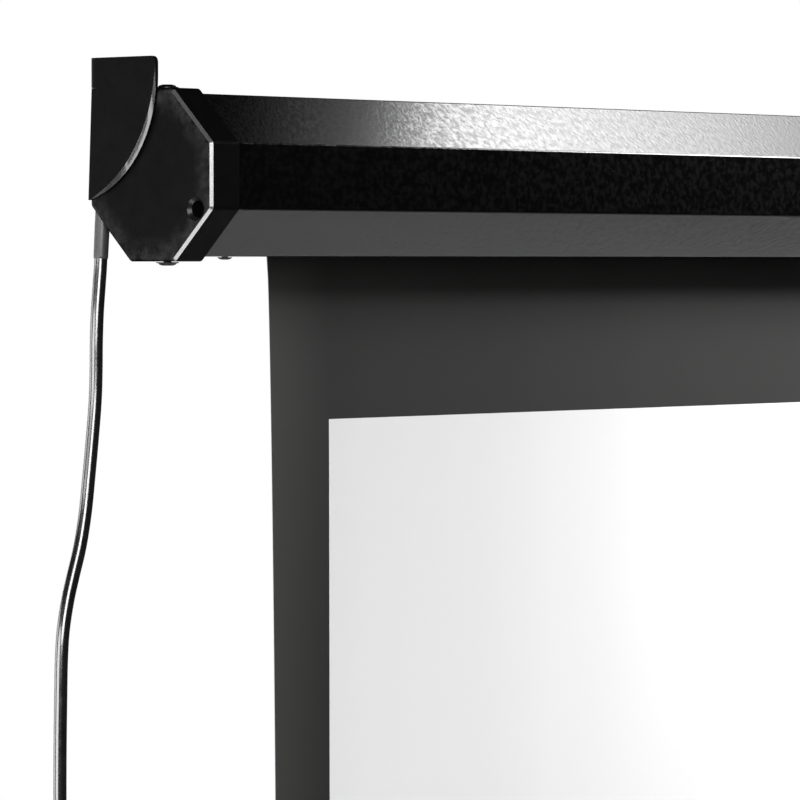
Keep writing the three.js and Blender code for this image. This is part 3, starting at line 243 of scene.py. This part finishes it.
class Nodes:
    def __init__(self, name):
        self.material = bpy.data.materials.new(name)
        self.material.use_nodes = True
        self.tree = self.material.node_tree
        self.shader = self.tree.nodes["Principled BSDF"]
        self.coords = self.tree.nodes.new("ShaderNodeTexCoord").outputs["Object"]

    def add(self, kind, **values):
        node = self.tree.nodes.new(kind)
        for key, value in values.items():
            if key in node.inputs:
                node.inputs[key].default_value = value
            else:
                setattr(node, key, value)
        return node

    def link(self, a, b):
        self.tree.links.new(a, b)

    def noise(self, scale, detail=3.0, roughness=0.5, coords=None, stretch=None):
        source = coords or self.coords
        if stretch:
            mapping = self.add("ShaderNodeMapping")
            mapping.inputs["Scale"].default_value = stretch
            self.link(source, mapping.inputs["Vector"])
            source = mapping.outputs["Vector"]
        node = self.add("ShaderNodeTexNoise", Scale=scale, Detail=detail, Roughness=roughness)
        self.link(source, node.inputs["Vector"])
        return node.outputs["Fac"]

    def ramp(self, source, stops):
        node = self.add("ShaderNodeValToRGB")
        band = node.color_ramp
        while len(band.elements) < len(stops):
            band.elements.new(0.5)
        for element, (at, value) in zip(band.elements, stops):
            element.position = at
            if isinstance(value, (int, float)):
                value = (value, value, value)
            element.color = (*value, 1)
        self.link(source, node.inputs["Fac"])
        return node.outputs["Color"]

    def math(self, operation, a, b=None):
        node = self.add("ShaderNodeMath", operation=operation)
        for i, value in enumerate((a, b)):
            if value is None:
                continue
            if isinstance(value, (int, float)):
                node.inputs[i].default_value = value
            else:
                self.link(value, node.inputs[i])
        return node.outputs["Value"]

    def bump(self, height, strength, distance):
        node = self.add("ShaderNodeBump", Strength=strength, Distance=distance)
        self.link(height, node.inputs["Height"])
        return node.outputs["Normal"]

    def finish(self, color=None, rough=None, normal=None, **flat):
        shader = self.shader
        if color is not None:
            self.link(color, shader.inputs["Base Color"])
        if rough is not None:
            self.link(rough, shader.inputs["Roughness"])
        if normal is not None:
            self.link(normal, shader.inputs["Normal"])
        for key, value in flat.items():
            shader.inputs[key.replace("_", " ")].default_value = value
        return self.material


def hammered_paint():
    m = Nodes("hammered_black_paint")
    normal = m.bump(m.noise(470, 2, 0.5), 0.22, 0.00025)
    tone = m.ramp(m.noise(70, 4, 0.6), [(0.3, 0.0005), (0.7, 0.0012)])
    rough = m.ramp(m.noise(300, 2, 0.6), [(0.4, 0.14), (0.6, 0.24)])
    return m.finish(tone, rough, normal)


def cap_moulding():
    m = Nodes("satin_charcoal_moulding")
    normal = m.bump(m.noise(900, 3, 0.6), 0.12, 0.0002)
    place = m.add("ShaderNodeSeparateXYZ")
    m.link(m.coords, place.inputs[0])
    along, across, up = (place.outputs[k] for k in "XYZ")
    off_y = m.math("ABSOLUTE", m.math("ADD", across, ORIGIN[1] / 1000))
    off_z = m.math("ABSOLUTE", m.math("ADD", up, ORIGIN[2] / 1000))
    flats = m.math("DIVIDE", m.math("MAXIMUM", off_y, off_z), CAP_FLAT / 1000)
    slopes = m.math("DIVIDE", m.math("ADD", off_y, off_z), CAP_SLOPE / 1000)
    # Painted sheen on the end face: mottled lighter patches towards the rim, added to the speckled tone
    near_edge = m.ramp(m.math("MAXIMUM", flats, slopes), [(0.7, 0), (0.97, 1)])
    sheen_mottle = m.ramp(m.noise(130, 5, 0.65), [(0.36, 0), (0.68, 1)])
    off_x = m.math("ABSOLUTE", m.math("SUBTRACT", along, CASE_MIDDLE))
    end_face = m.math("GREATER_THAN", off_x, (CASE_LENGTH / 2 - CAP_FACE_DEPTH) / 1000)
    cap_edge_sheen = m.math("MULTIPLY", m.math("MULTIPLY", near_edge, sheen_mottle), end_face)
    speckle = m.ramp(m.noise(45, 5, 0.6), [(0.3, 0.0012), (0.7, 0.0026)])
    tone = m.math("ADD", speckle, m.math("MULTIPLY", cap_edge_sheen, CAP_EDGE_SHEEN))
    rough = m.ramp(m.noise(120, 4, 0.65), [(0.3, 0.48), (0.7, 0.6)])
    return m.finish(tone, rough, normal, Specular_IOR_Level=0.05)


def moulded(
    name, low, high, rough_low, rough_high, scale=900, strength=0.12, distance=0.0002, specular=0.5
):
    m = Nodes(name)
    normal = m.bump(m.noise(scale, 3, 0.6), strength, distance)
    tone = m.ramp(m.noise(45, 5, 0.6), [(0.3, low), (0.7, high)])
    rough = m.ramp(m.noise(120, 4, 0.65), [(0.3, rough_low), (0.7, rough_high)])
    return m.finish(tone, rough, normal, Specular_IOR_Level=specular)


# A lighter, glossier finish that paints a highlight on the faces it is given
def painted_highlight_finish(name, tone_low, tone_high, specular, coat):
    m = Nodes(name)
    rim_mottle = m.noise(900, 3, 0.6)
    normal = m.bump(rim_mottle, 0.05, 0.0001)
    tone = m.ramp(rim_mottle, [(0.3, tone_low), (0.7, tone_high)])
    rough = m.ramp(m.noise(240, 4, 0.6), [(0.3, 0.22), (0.7, 0.32)])
    return m.finish(
        tone, rough, normal, Specular_IOR_Level=specular, Coat_Weight=coat, Coat_Roughness=0.12
    )


def metal(name, low, high, rough_low, rough_high, stretch):
    m = Nodes(name)
    grain = m.noise(500, 4, 0.6, stretch=stretch)
    normal = m.bump(grain, 0.08, 0.0002)
    tone = m.ramp(grain, [(0.3, low), (0.7, high)])
    rough = m.ramp(m.noise(90, 4, 0.6), [(0.3, rough_low), (0.7, rough_high)])
    return m.finish(tone, rough, normal, Metallic=1.0)


def coated_fabric(name, low, high, rough_low, rough_high, specular=0.5, curl_sheen_tone=None):
    m = Nodes(name)
    uv = m.tree.nodes.new("ShaderNodeUVMap").outputs["UV"]
    weave = m.add("ShaderNodeTexWave", Scale=1400.0, Distortion=0.6)
    m.link(uv, weave.inputs["Vector"])
    fine = m.noise(3800, 2, 0.5, coords=uv)
    bands = m.noise(9, 2, 0.5, coords=uv, stretch=(1, 0.03, 1))
    height = m.math("ADD", m.math("MULTIPLY", weave.outputs["Fac"], 0.4), fine)
    normal = m.bump(height, 0.12, 0.00008)
    tone = m.ramp(bands, [(0.3, low), (0.7, high)])
    # Painted sheen: the border grows lighter towards the sheet's side edges, where their forward curl
    # would catch light
    if curl_sheen_tone:
        across = m.add("ShaderNodeSeparateXYZ")
        m.link(uv, across.inputs[0])
        from_middle = m.math("ABSOLUTE", m.math("SUBTRACT", across.outputs["X"], SHEET_MIDDLE))
        inner_edge = SHEET_HALF - BORDER / 1000
        curl_sheen_band = m.ramp(from_middle, [(inner_edge, (0, 0, 0)), (SHEET_HALF, curl_sheen_tone)])
        both = m.add("ShaderNodeMix", data_type="RGBA", blend_type="ADD")
        both.inputs[0].default_value = 1
        m.link(tone, both.inputs[6])
        m.link(curl_sheen_band, both.inputs[7])
        tone = both.outputs[2]
    rough = m.ramp(fine, [(0.3, rough_low), (0.7, rough_high)])
    return m.finish(tone, rough, normal, Specular_IOR_Level=specular)


def cord_sheath():
    m = Nodes("glossy_black_sheath")
    normal = m.bump(m.noise(260, 3, 0.5), 0.1, 0.0002)
    tone = m.ramp(m.noise(60, 3, 0.5), [(0.3, 0.004), (0.7, 0.009)])
    rough = m.ramp(m.noise(180, 3, 0.5), [(0.3, 0.18), (0.7, 0.27)])
    return m.finish(
        tone, rough, normal, Specular_IOR_Level=1.0, Coat_Weight=1.0, Coat_IOR=1.7,
        Coat_Roughness=0.14
    )


MATERIALS = {
    "case_paint": hammered_paint(),
    "cap_black": cap_moulding(),
    "bracket_black": moulded(
        "fine_black_powder_coat", 0.0012, 0.0024, 0.5, 0.62, 1300, 0.25, 0.0003, 0.06
    ),
    "zinc_steel": metal("zinc_plated_steel", 0.42, 0.6, 0.25, 0.4, (1, 1, 1)),
    "screw_black": moulded("black_zinc", 0.003, 0.006, 0.3, 0.42, 700, 0.1, 0.0002),
    "aluminium": metal("mill_aluminium", 0.6, 0.72, 0.28, 0.42, (0.05, 1, 1)),
    "dark_plastic": moulded("dark_moulding", 0.01, 0.016, 0.45, 0.6),
    "pale_nylon": moulded("natural_nylon", 0.62, 0.7, 0.42, 0.55),
    "motor_winding": metal(
        "varnished_winding", (0.28, 0.12, 0.05), (0.4, 0.2, 0.09), 0.3, 0.5, (1, 1, 1)
    ),
    "masking_fabric": coated_fabric(
        "black_masking_sheet",
        (0.0095, 0.0095, 0.009),
        (0.0137, 0.0137, 0.013),
        0.44,
        0.56,
        0.7,
        # painted sheen along the curled side edges
        curl_sheen_tone=(0.024, 0.024, 0.0225),
    ),
    "white_fabric": coated_fabric("matt_white_sheet", 0.87, 0.9, 0.7, 0.85),
    "cord_rubber": cord_sheath(),
    "brass": metal(
        "bright_brass", (0.62, 0.47, 0.2), (0.72, 0.56, 0.27), 0.2, 0.32, (1, 1, 0.1)
    ),
}
# Painted shade: the motor and idler brackets, deep inside the case, get a darkened copy of the zinc
# plated steel
SHADED_BRACKET_ZINC = metal("zinc_steel_painted_shade", 0.04, 0.07, 0.5, 0.65, (1, 1, 1))
# Painted shade: the adjuster, set back in the access bore, is made near black
SHADED_ADJUSTER = moulded("adjuster_painted_shade", 0.002, 0.004, 0.5, 0.62, specular=0.05)
BOOT_RUBBER = moulded("satin_boot_rubber", 0.03, 0.05, 0.36, 0.46, specular=0.7)
# Painted highlights: the cap's front rim, the access hole's countersink and the bracket's arc bevel get
# these lighter finishes
CAP_RIM = painted_highlight_finish("cap_rim_painted_highlight", 0.06, 0.1, 1.0, 1.0)
SINK_EDGE = painted_highlight_finish("countersink_painted_highlight", 0.004, 0.01, 0.25, 0)
BRACKET_RIM = painted_highlight_finish("bracket_arc_painted_highlight", 0.012, 0.03, 0.8, 0.5)

SLOT_OF = {entry["node"]: entry["material_slot"] for entry in frame["record"]["subparts"]}


def paint(obj, slot_name):
    obj.data.materials.clear()
    obj.data.materials.append(MATERIALS[slot_name])


for node_name, node in nodes.items():
    paint(node, SLOT_OF[node_name])
paint(cord, "cord_rubber")
# Painted shade on the two brackets inside the case
for node_name in ("motor_bracket", "idler_bracket"):
    nodes[node_name].data.materials[0] = SHADED_BRACKET_ZINC
# Painted shade on the adjuster in the access bore
nodes["limit_adjuster"].data.materials[0] = SHADED_ADJUSTER


# Pieces made from a node's own shape, with its edges rounded. Angles are degrees.
WELD = 1e-6
FLAT_ANGLE = 0.5
EDGE_ANGLE = 25
SMOOTH_ANGLE = 50
EDGE_SEGMENTS = 2
FOLD_SEGMENTS = 4
FOLD_WIDTH = 0.7


def face_weighted_normals(mesh):
    near = math.cos(math.radians(SMOOTH_ANGLE))
    around = [[] for _ in mesh.vertices]
    for face in mesh.polygons:
        for vertex in face.vertices:
            around[vertex].append((face.normal.copy(), face.area))
    normals = []
    for face in mesh.polygons:
        for vertex in face.vertices:
            total = Vector()
            for normal, area in around[vertex]:
                if normal.dot(face.normal) > near:
                    total += normal * area
            normals.append(total.normalized())
    mesh.normals_split_custom_set(normals)


def object_from(name, bm, slot_name, smooth, body="housing", weighted=False):
    mesh = bpy.data.meshes.new(name)
    bm.to_mesh(mesh)
    bm.free()
    piece = bpy.data.objects.new(name, mesh)
    collection.objects.link(piece)
    mesh.polygons.foreach_set("use_smooth", [True] * len(mesh.polygons))
    mesh.set_sharp_from_angle(angle=math.radians(smooth))
    if weighted:
        face_weighted_normals(mesh)
    mesh.materials.append(MATERIALS[slot_name])
    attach(piece, body)
    return piece


def round_edges(bm, edges, width, segments):
    bmesh.ops.bevel(
        bm,
        geom=edges,
        offset=width / 1000,
        offset_type="OFFSET",
        segments=segments,
        profile=0.5,
        affect="EDGES",
        clamp_overlap=True,
        material=-1,
    )


def rounded_copy(node_name, width, is_fold=None):
    bm = bmesh.new()
    bm.from_mesh(nodes[node_name].data)
    bmesh.ops.remove_doubles(bm, verts=bm.verts, dist=WELD)
    flat = math.radians(FLAT_ANGLE)
    bmesh.ops.dissolve_limit(bm, angle_limit=flat, verts=bm.verts, edges=bm.edges)
    sharp = math.radians(EDGE_ANGLE)
    edges = [e for e in bm.edges if len(e.link_faces) == 2 and e.calc_face_angle(0) > sharp]
    folds = [e for e in edges if is_fold and is_fold(e)]
    round_edges(bm, [e for e in edges if e not in folds], width, EDGE_SEGMENTS)
    if folds:
        round_edges(bm, [e for e in folds if e.is_valid], FOLD_WIDTH, FOLD_SEGMENTS)
    body = nodes[node_name]["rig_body"]
    slot_name = SLOT_OF[node_name]
    piece = object_from(f"{node_name}_rounded", bm, slot_name, SMOOTH_ANGLE, body, weighted=True)
    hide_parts(node_name)
    return piece


def paint_highlight_faces(piece, material, wanted):
    piece.data.materials.append(material)
    index = len(piece.data.materials) - 1
    for face in piece.data.polygons:
        if wanted(face.normal, face.center * 1000 + Vector(ORIGIN)):
            face.material_index = index


# Which faces get a painted highlight: the front part of the cap's rim, the countersink of the access
# hole and the bevel of the bracket's arc. A slant is a range for the part of a face normal along the
# case.
RIM_DEPTH = 1.55
RIM_REAR_Y = -16
RIM_SLANT = (0.25, 0.97)
HOLE_Y = -31.5
HOLE_Z = -16.5
HOLE_CLEAR = 7
SINK_RADIUS = 6.4
SINK_DEPTHS = (0.05, 1.8)
SINK_SLANT = (0.2, 0.95)
BRACKET_FACE = 2.8
BEVEL_DEPTH = 0.85
BEVEL_SLANT = (0.1, 0.985)
BEVEL_LEVEL = 0.03


def from_end(at):
    return min(at.x, CASE_LENGTH - at.x)


def from_hole(at):
    return math.hypot(at.y - HOLE_Y, at.z - HOLE_Z)


def slanted(normal, slant):
    return slant[0] < abs(normal.x) < slant[1]


def on_cap_rim(normal, at):
    at_front = from_end(at) < RIM_DEPTH and at.y < RIM_REAR_Y
    return at_front and slanted(normal, RIM_SLANT) and from_hole(at) > HOLE_CLEAR


def in_access_sink(normal, at):
    inside = from_hole(at) < SINK_RADIUS and SINK_DEPTHS[0] < at.x < SINK_DEPTHS[1]
    return inside and slanted(normal, SINK_SLANT)


def on_bracket_arc(normal, at):
    ahead_or_down = normal.y < BEVEL_LEVEL and normal.z < BEVEL_LEVEL
    near_face = from_end(at) + BRACKET_FACE < BEVEL_DEPTH
    return ahead_or_down and near_face and slanted(normal, BEVEL_SLANT)


# The case's outer folds: its long edges that lie far from the centre line
LONG_EDGE = 1000
FOLD_RADIUS = 43


def is_case_fold(edge):
    a, b = (v.co * 1000 + Vector(ORIGIN) for v in edge.verts)
    return abs(a.x - b.x) > LONG_EDGE and math.hypot(a.y, a.z) > FOLD_RADIUS


# The width of the rounding on each piece's edges
for node_name, width in (
    ("case_shell", 0.2),
    ("left_end_cap", 0.4),
    ("right_end_cap", 0.4),
    ("left_wall_bracket", 0.3),
    ("right_wall_bracket", 0.3),
    ("weight_bar", 0.15),
    ("weight_bar_cap_left", 0.5),
    ("weight_bar_cap_right", 0.5),
    ("plug_body", 0.8),
    ("coil_tie", 0.2),
):
    piece = rounded_copy(node_name, width, is_case_fold if node_name == "case_shell" else None)
    # The cap's front rim, its countersink and the bracket's arc bevel take the painted highlight
    # finishes
    if node_name.endswith("end_cap"):
        paint_highlight_faces(piece, CAP_RIM, on_cap_rim)
    if node_name == "left_end_cap":
        paint_highlight_faces(piece, SINK_EDGE, in_access_sink)
    if node_name.endswith("wall_bracket"):
        paint_highlight_faces(piece, BRACKET_RIM, on_bracket_arc)


# Screws, rivets and the cord's boot: profiles of (radius, height) turned about an axis. A cross recess
# draws in the ring of points inside it wherever no arm of the cross is.
SPIN_STEPS = 32
SPUN_SMOOTH = 38
CROSS_ARM = 0.9
CROSS_PINCH = 0.4


def spun(name, profile, centre, axis, slot_name, cross=None):
    bm = bmesh.new()
    verts = [bm.verts.new((r / 1000, 0, h / 1000)) for r, h in profile]
    edges = [bm.edges.new(pair) for pair in zip(verts, verts[1:])]
    bmesh.ops.spin(
        bm,
        geom=verts + edges,
        cent=(0, 0, 0),
        axis=(0, 0, 1),
        angle=2 * math.pi,
        steps=SPIN_STEPS,
        use_merge=True,
    )
    bmesh.ops.remove_doubles(bm, verts=bm.verts, dist=WELD)
    if cross:
        outer, above = cross
        for v in bm.verts:
            reach = math.hypot(v.co.x, v.co.y) * 1000
            if 0 < reach < outer and v.co.z * 1000 > above:
                angle = math.atan2(v.co.y, v.co.x)
                if abs(math.cos(2 * angle)) <= CROSS_ARM:
                    v.co.x *= CROSS_PINCH
                    v.co.y *= CROSS_PINCH
    bmesh.ops.recalc_face_normals(bm, faces=bm.faces)
    turn = Vector((0, 0, 1)).rotation_difference(Vector(axis)).to_matrix().to_4x4()
    bmesh.ops.transform(bm, matrix=Matrix.Translation(here(*centre)) @ turn, verts=bm.verts)
    return object_from(name, bm, slot_name, SPUN_SMOOTH)


def middle_of(node_name):
    low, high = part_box(node_name)
    return [(a + b) / 2 * 1000 + c for a, b, c in zip(low, high, ORIGIN)]


SCREW_SEATS = {"top": 44.3, "bottom": -42.8}
SCREW_RECESS = (2.4, 0.4)
SHANK = 1.95
THREAD_LENGTH = 8.2
THREAD_PITCH = 0.8
THREAD_DEPTH = 0.28
THREAD_TIP = 0.5
SCREW_HEAD = [
    (0, 0.5),
    (1.2, 0.6),
    (2.3, 1.62),
    (2.5, 1.78),
    (3.2, 1.62),
    (4.2, 1.25),
    (4.5, 0.8),
    (4.7, 0.62),
    (5.5, 0.55),
    (5.75, 0.4),
    (5.75, 0.12),
    (5.6, 0),
    (2.2, 0),
    (SHANK, -0.3),
]


def threaded(head):
    out = list(head)
    start = out[-1][1]
    turns = int((THREAD_LENGTH + start) / THREAD_PITCH)
    for k in range(turns):
        top = start - k * THREAD_PITCH
        out.append((SHANK, top))
        out.append((SHANK - THREAD_DEPTH, top - THREAD_PITCH / 2))
    end = start - turns * THREAD_PITCH
    out.append((SHANK - THREAD_DEPTH, end))
    out.append((0, end - THREAD_TIP))
    return out


def add_cap_screw(node_name):
    x = middle_of(node_name)[0]
    level = node_name.rsplit("_", 1)[1]
    piece = spun(
        f"{node_name}_headed",
        threaded(SCREW_HEAD),
        (x, 0, SCREW_SEATS[level]),
        (0, 0, 1 if level == "top" else -1),
        "screw_black",
        cross=SCREW_RECESS,
    )
    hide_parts(node_name)


RIVET_SEAT = 40.3
RIVET_PROFILE = [
    (0, 0.95),
    (0.7, 1.0),
    (0.9, 1.22),
    (1.3, 1.28),
    (2.0, 1.2),
    (2.7, 0.98),
    (3.3, 0.62),
    (3.7, 0.3),
    (3.78, 0.15),
    (3.7, 0.02),
    (1.6, 0.02),
    (1.6, -3.4),
    (1.45, -3.9),
    (1.1, -4.3),
    (0, -4.38),
]


def add_rivet(node_name):
    x, y, _ = middle_of(node_name)
    if node_name.endswith("bottom"):
        place, axis = (x, y, -RIVET_SEAT), (0, 0, -1)
    else:
        place, axis = (x, RIVET_SEAT, 0), (0, 1, 0)
    piece = spun(f"{node_name}_domed", RIVET_PROFILE, place, axis, "screw_black")
    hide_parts(node_name)


for side in ("left", "right"):
    for level in ("top", "bottom"):
        add_cap_screw(f"{side}_cap_screw_{level}")
for end in ("motor", "idler"):
    for level in ("bottom", "rear"):
        add_rivet(f"{end}_bracket_rivet_{level}")


# Sheet: a black sheet whose side edges curl forward, and a white picture surface in front of it
SHEET_TOP = -0.3
SHEET_Y = 11.6
SHEET_THICKNESS = 0.36
SHEET_SMOOTH = 40
PICTURE = (1860, 1046)
PICTURE_TOP = -125
PICTURE_THICKNESS = 0.2
PICTURE_GAP = 0.04
BAR_TOP = -1216
BAR_GAP = 0.3
CASE_LOW = -40
CURL = 7.5
CURL_WIDTH = 66
WAVE = 0.5
WAVE_LENGTH = 310
EASE = 0.6
COLUMN_STEPS = 180
ROW_STEPS = 60
BORDER_STEPS = 12
TOP_STEPS = 8
LOW_STEPS = 4
SHEET_REACH = 1.2154
PICTURE_REACH = 1.1707


def forward(x, z):
    down = min(max((CASE_LOW - z) / (CASE_LOW - BAR_TOP), 0), 1)
    ease = math.sin(math.pi * down) ** EASE if 0 < down < 1 else 0
    edge = min(x - MARGIN, MARGIN + SHEET_WIDTH - x)
    curl = CURL * max(1 - edge / CURL_WIDTH, 0) ** 2
    wave = WAVE * math.sin(2 * math.pi * (x - MARGIN) / WAVE_LENGTH)
    return -ease * (curl + wave)


def even_steps(a, b, steps):
    return [a + (b - a) * k / steps for k in range(steps + 1)]


def hanging_sheet(name, columns, rows, back_y, thickness, slot_name, node_name):
    across = len(columns) - 1
    down = len(rows) - 1
    bm = bmesh.new()
    bmesh.ops.create_grid(bm, x_segments=across, y_segments=down, size=0.5)
    for v in bm.verts:
        x = columns[round((v.co.x + 0.5) * across)]
        z = rows[round((0.5 - v.co.y) * down)]
        v.co = here(x, back_y - thickness + forward(x, z), z)
    bm.normal_update()
    bmesh.ops.solidify(bm, geom=bm.faces[:], thickness=thickness / 1000)
    bmesh.ops.recalc_face_normals(bm, faces=bm.faces)
    uv = bm.loops.layers.uv.new("UVMap")
    for face in bm.faces:
        for loop in face.loops:
            loop[uv].uv = (loop.vert.co.x, loop.vert.co.z)
    piece = object_from(name, bm, slot_name, SHEET_SMOOTH, "curtain")
    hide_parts(node_name)
    return piece


picture_left = MARGIN + BORDER
picture_right = picture_left + PICTURE[0]
picture_low = PICTURE_TOP - PICTURE[1]
picture_columns = even_steps(picture_left, picture_right, COLUMN_STEPS)
left_columns = even_steps(MARGIN, picture_left, BORDER_STEPS)[:-1]
right_columns = even_steps(picture_right, MARGIN + SHEET_WIDTH, BORDER_STEPS)[1:]
picture_rows = even_steps(PICTURE_TOP, picture_low, ROW_STEPS)
top_rows = [SHEET_TOP] + even_steps(CASE_LOW, PICTURE_TOP, TOP_STEPS)[:-1]
low_rows = even_steps(picture_low, BAR_TOP + BAR_GAP, LOW_STEPS)[1:]
masking = hanging_sheet(
    "black_backed_sheet",
    left_columns + picture_columns + right_columns,
    top_rows + picture_rows + low_rows,
    SHEET_Y + SHEET_THICKNESS / 2,
    SHEET_THICKNESS,
    "masking_fabric",
    "masking_sheet",
)
picture = hanging_sheet(
    "picture_surface",
    picture_columns,
    picture_rows,
    SHEET_Y - (SHEET_THICKNESS / 2 + PICTURE_GAP),
    PICTURE_THICKNESS,
    "white_fabric",
    "viewing_surface",
)
# Each sheet gets a mesh of its own
for piece, reach in ((masking, SHEET_REACH), (picture, PICTURE_REACH)):
    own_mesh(piece)

# Boot: its tip is where the cord comes out, and it leans as the cord does there
BOOT_TIP = (4, 38.6, -40)
BOOT_LEAN = (-1.4, 0, -21.5)
BOOT_PROFILE = [
    (0, -23.9),
    (3.6, -23.9),
    (3.83, -23.6),
    (3.83, -21),
    (3.82, -14),
    (3.8, -8),
    (3.77, -3),
    (3.74, 0.2),
    (3.68, 0.9),
    (3.54, 1.1),
    (3.54, 0.4),
    (3.54, -0.3),
    (0, -0.3),
]
boot = spun("cord_boot", BOOT_PROFILE, BOOT_TIP, BOOT_LEAN, "cord_rubber")
boot.data.materials[0] = BOOT_RUBBER
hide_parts("cord_relief")


# Room and light, in metres of the row frame. A light's brightness is that of its lit face, and its
# spread is in degrees.
FLOOR_Z = -1.75
FLOOR_MIDDLE_X = 1
FLOOR_HALF = 8
FLOOR_GLOW = 0.5


def add_floor():
    bm = bmesh.new()
    bmesh.ops.create_grid(bm, x_segments=1, y_segments=1, size=FLOOR_HALF)
    bmesh.ops.translate(bm, verts=bm.verts, vec=(FLOOR_MIDDLE_X, 0, FLOOR_Z))
    mesh = bpy.data.meshes.new("floor")
    bm.to_mesh(mesh)
    bm.free()
    floor = bpy.data.objects.new("floor", mesh)
    collection.objects.link(floor)
    m = Nodes("pale_floor")
    tone = m.ramp(m.noise(2, 3), [(0.3, 0.8), (0.7, 0.85)])
    seen = m.add("ShaderNodeLightPath").outputs["Is Camera Ray"]
    m.link(m.math("MULTIPLY", seen, FLOOR_GLOW), m.shader.inputs["Emission Strength"])
    mesh.materials.append(m.finish(tone, Roughness=0.8))


def add_softbox(name, at, aim, size, radiance, spread=180):
    data = bpy.data.lights.new(name, "AREA")
    data.shape = "RECTANGLE"
    data.size, data.size_y = size
    data.energy = radiance * math.pi * size[0] * size[1]
    data.spread = math.radians(spread)
    lamp = bpy.data.objects.new(name, data)
    collection.objects.link(lamp)
    lamp.location = at
    lamp.rotation_euler = (Vector(aim) - Vector(at)).to_track_quat("-Z", "Y").to_euler()
    lamp.visible_camera = False


def add_world(seen_strength, light_strength):
    world = bpy.data.worlds.new("studio")
    bpy.context.scene.world = world
    world.use_nodes = True
    tree = world.node_tree
    tree.nodes.clear()
    out = tree.nodes.new("ShaderNodeOutputWorld")
    mix = tree.nodes.new("ShaderNodeMixShader")
    path = tree.nodes.new("ShaderNodeLightPath")
    tree.links.new(path.outputs["Is Camera Ray"], mix.inputs["Fac"])
    for slot_index, strength in ((1, light_strength), (2, seen_strength)):
        background = tree.nodes.new("ShaderNodeBackground")
        background.inputs["Color"].default_value = (1, 1, 1, 1)
        background.inputs["Strength"].default_value = strength
        tree.links.new(background.outputs[0], mix.inputs[slot_index])
    tree.links.new(mix.outputs[0], out.inputs["Surface"])


bpy.context.scene.view_settings.view_transform = "Standard"
add_floor()
add_world(seen_strength=1.0, light_strength=0.02)
add_softbox("key_panel", (-1.35, -1.25, 0.45), (0.1, 0, -0.1), (1.0, 1.1), 9.3)
add_softbox("side_panel", (-1.5, 0.15, -0.3), (0, 0, -0.15), (1.1, 0.75), 5.5)
add_softbox("rear_panel", (-0.85, 1.25, -0.3), (0, 0, -0.2), (0.8, 0.8), 3.4)
add_softbox("back_panel", (0.6, 1.6, -0.2), (0, 0, -0.2), (1.5, 0.9), 2)
add_softbox("low_panel", (-0.52, -0.25, -1.05), (0.02, -0.03, -0.08), (0.5, 0.5), 5)
add_softbox("top_glare", (0.86, -0.08, 0.4), (0.445, -0.06, -0.02), (0.25, 0.3), 0.27, 22)
add_softbox("left_sheen", (0.73, -0.08, 0.4), (0.315, -0.06, -0.02), (0.25, 0.3), 0.013, 22)
add_softbox("far_end_panel", (1.75, -1.6, 1.1), (1.55, 0, -0.65), (1.2, 1.0), 2, 50)
add_softbox("right_fill", (1.12, -0.45, 0.34), (0.62, 0, -0.25), (0.3, 0.3), 10, 70)
add_softbox("floor_wash", (2.6, 0.9, -0.6), (2.6, 0.5, FLOOR_Z), (1.6, 1.4), 2.2)

bpy.context.view_layer.update()
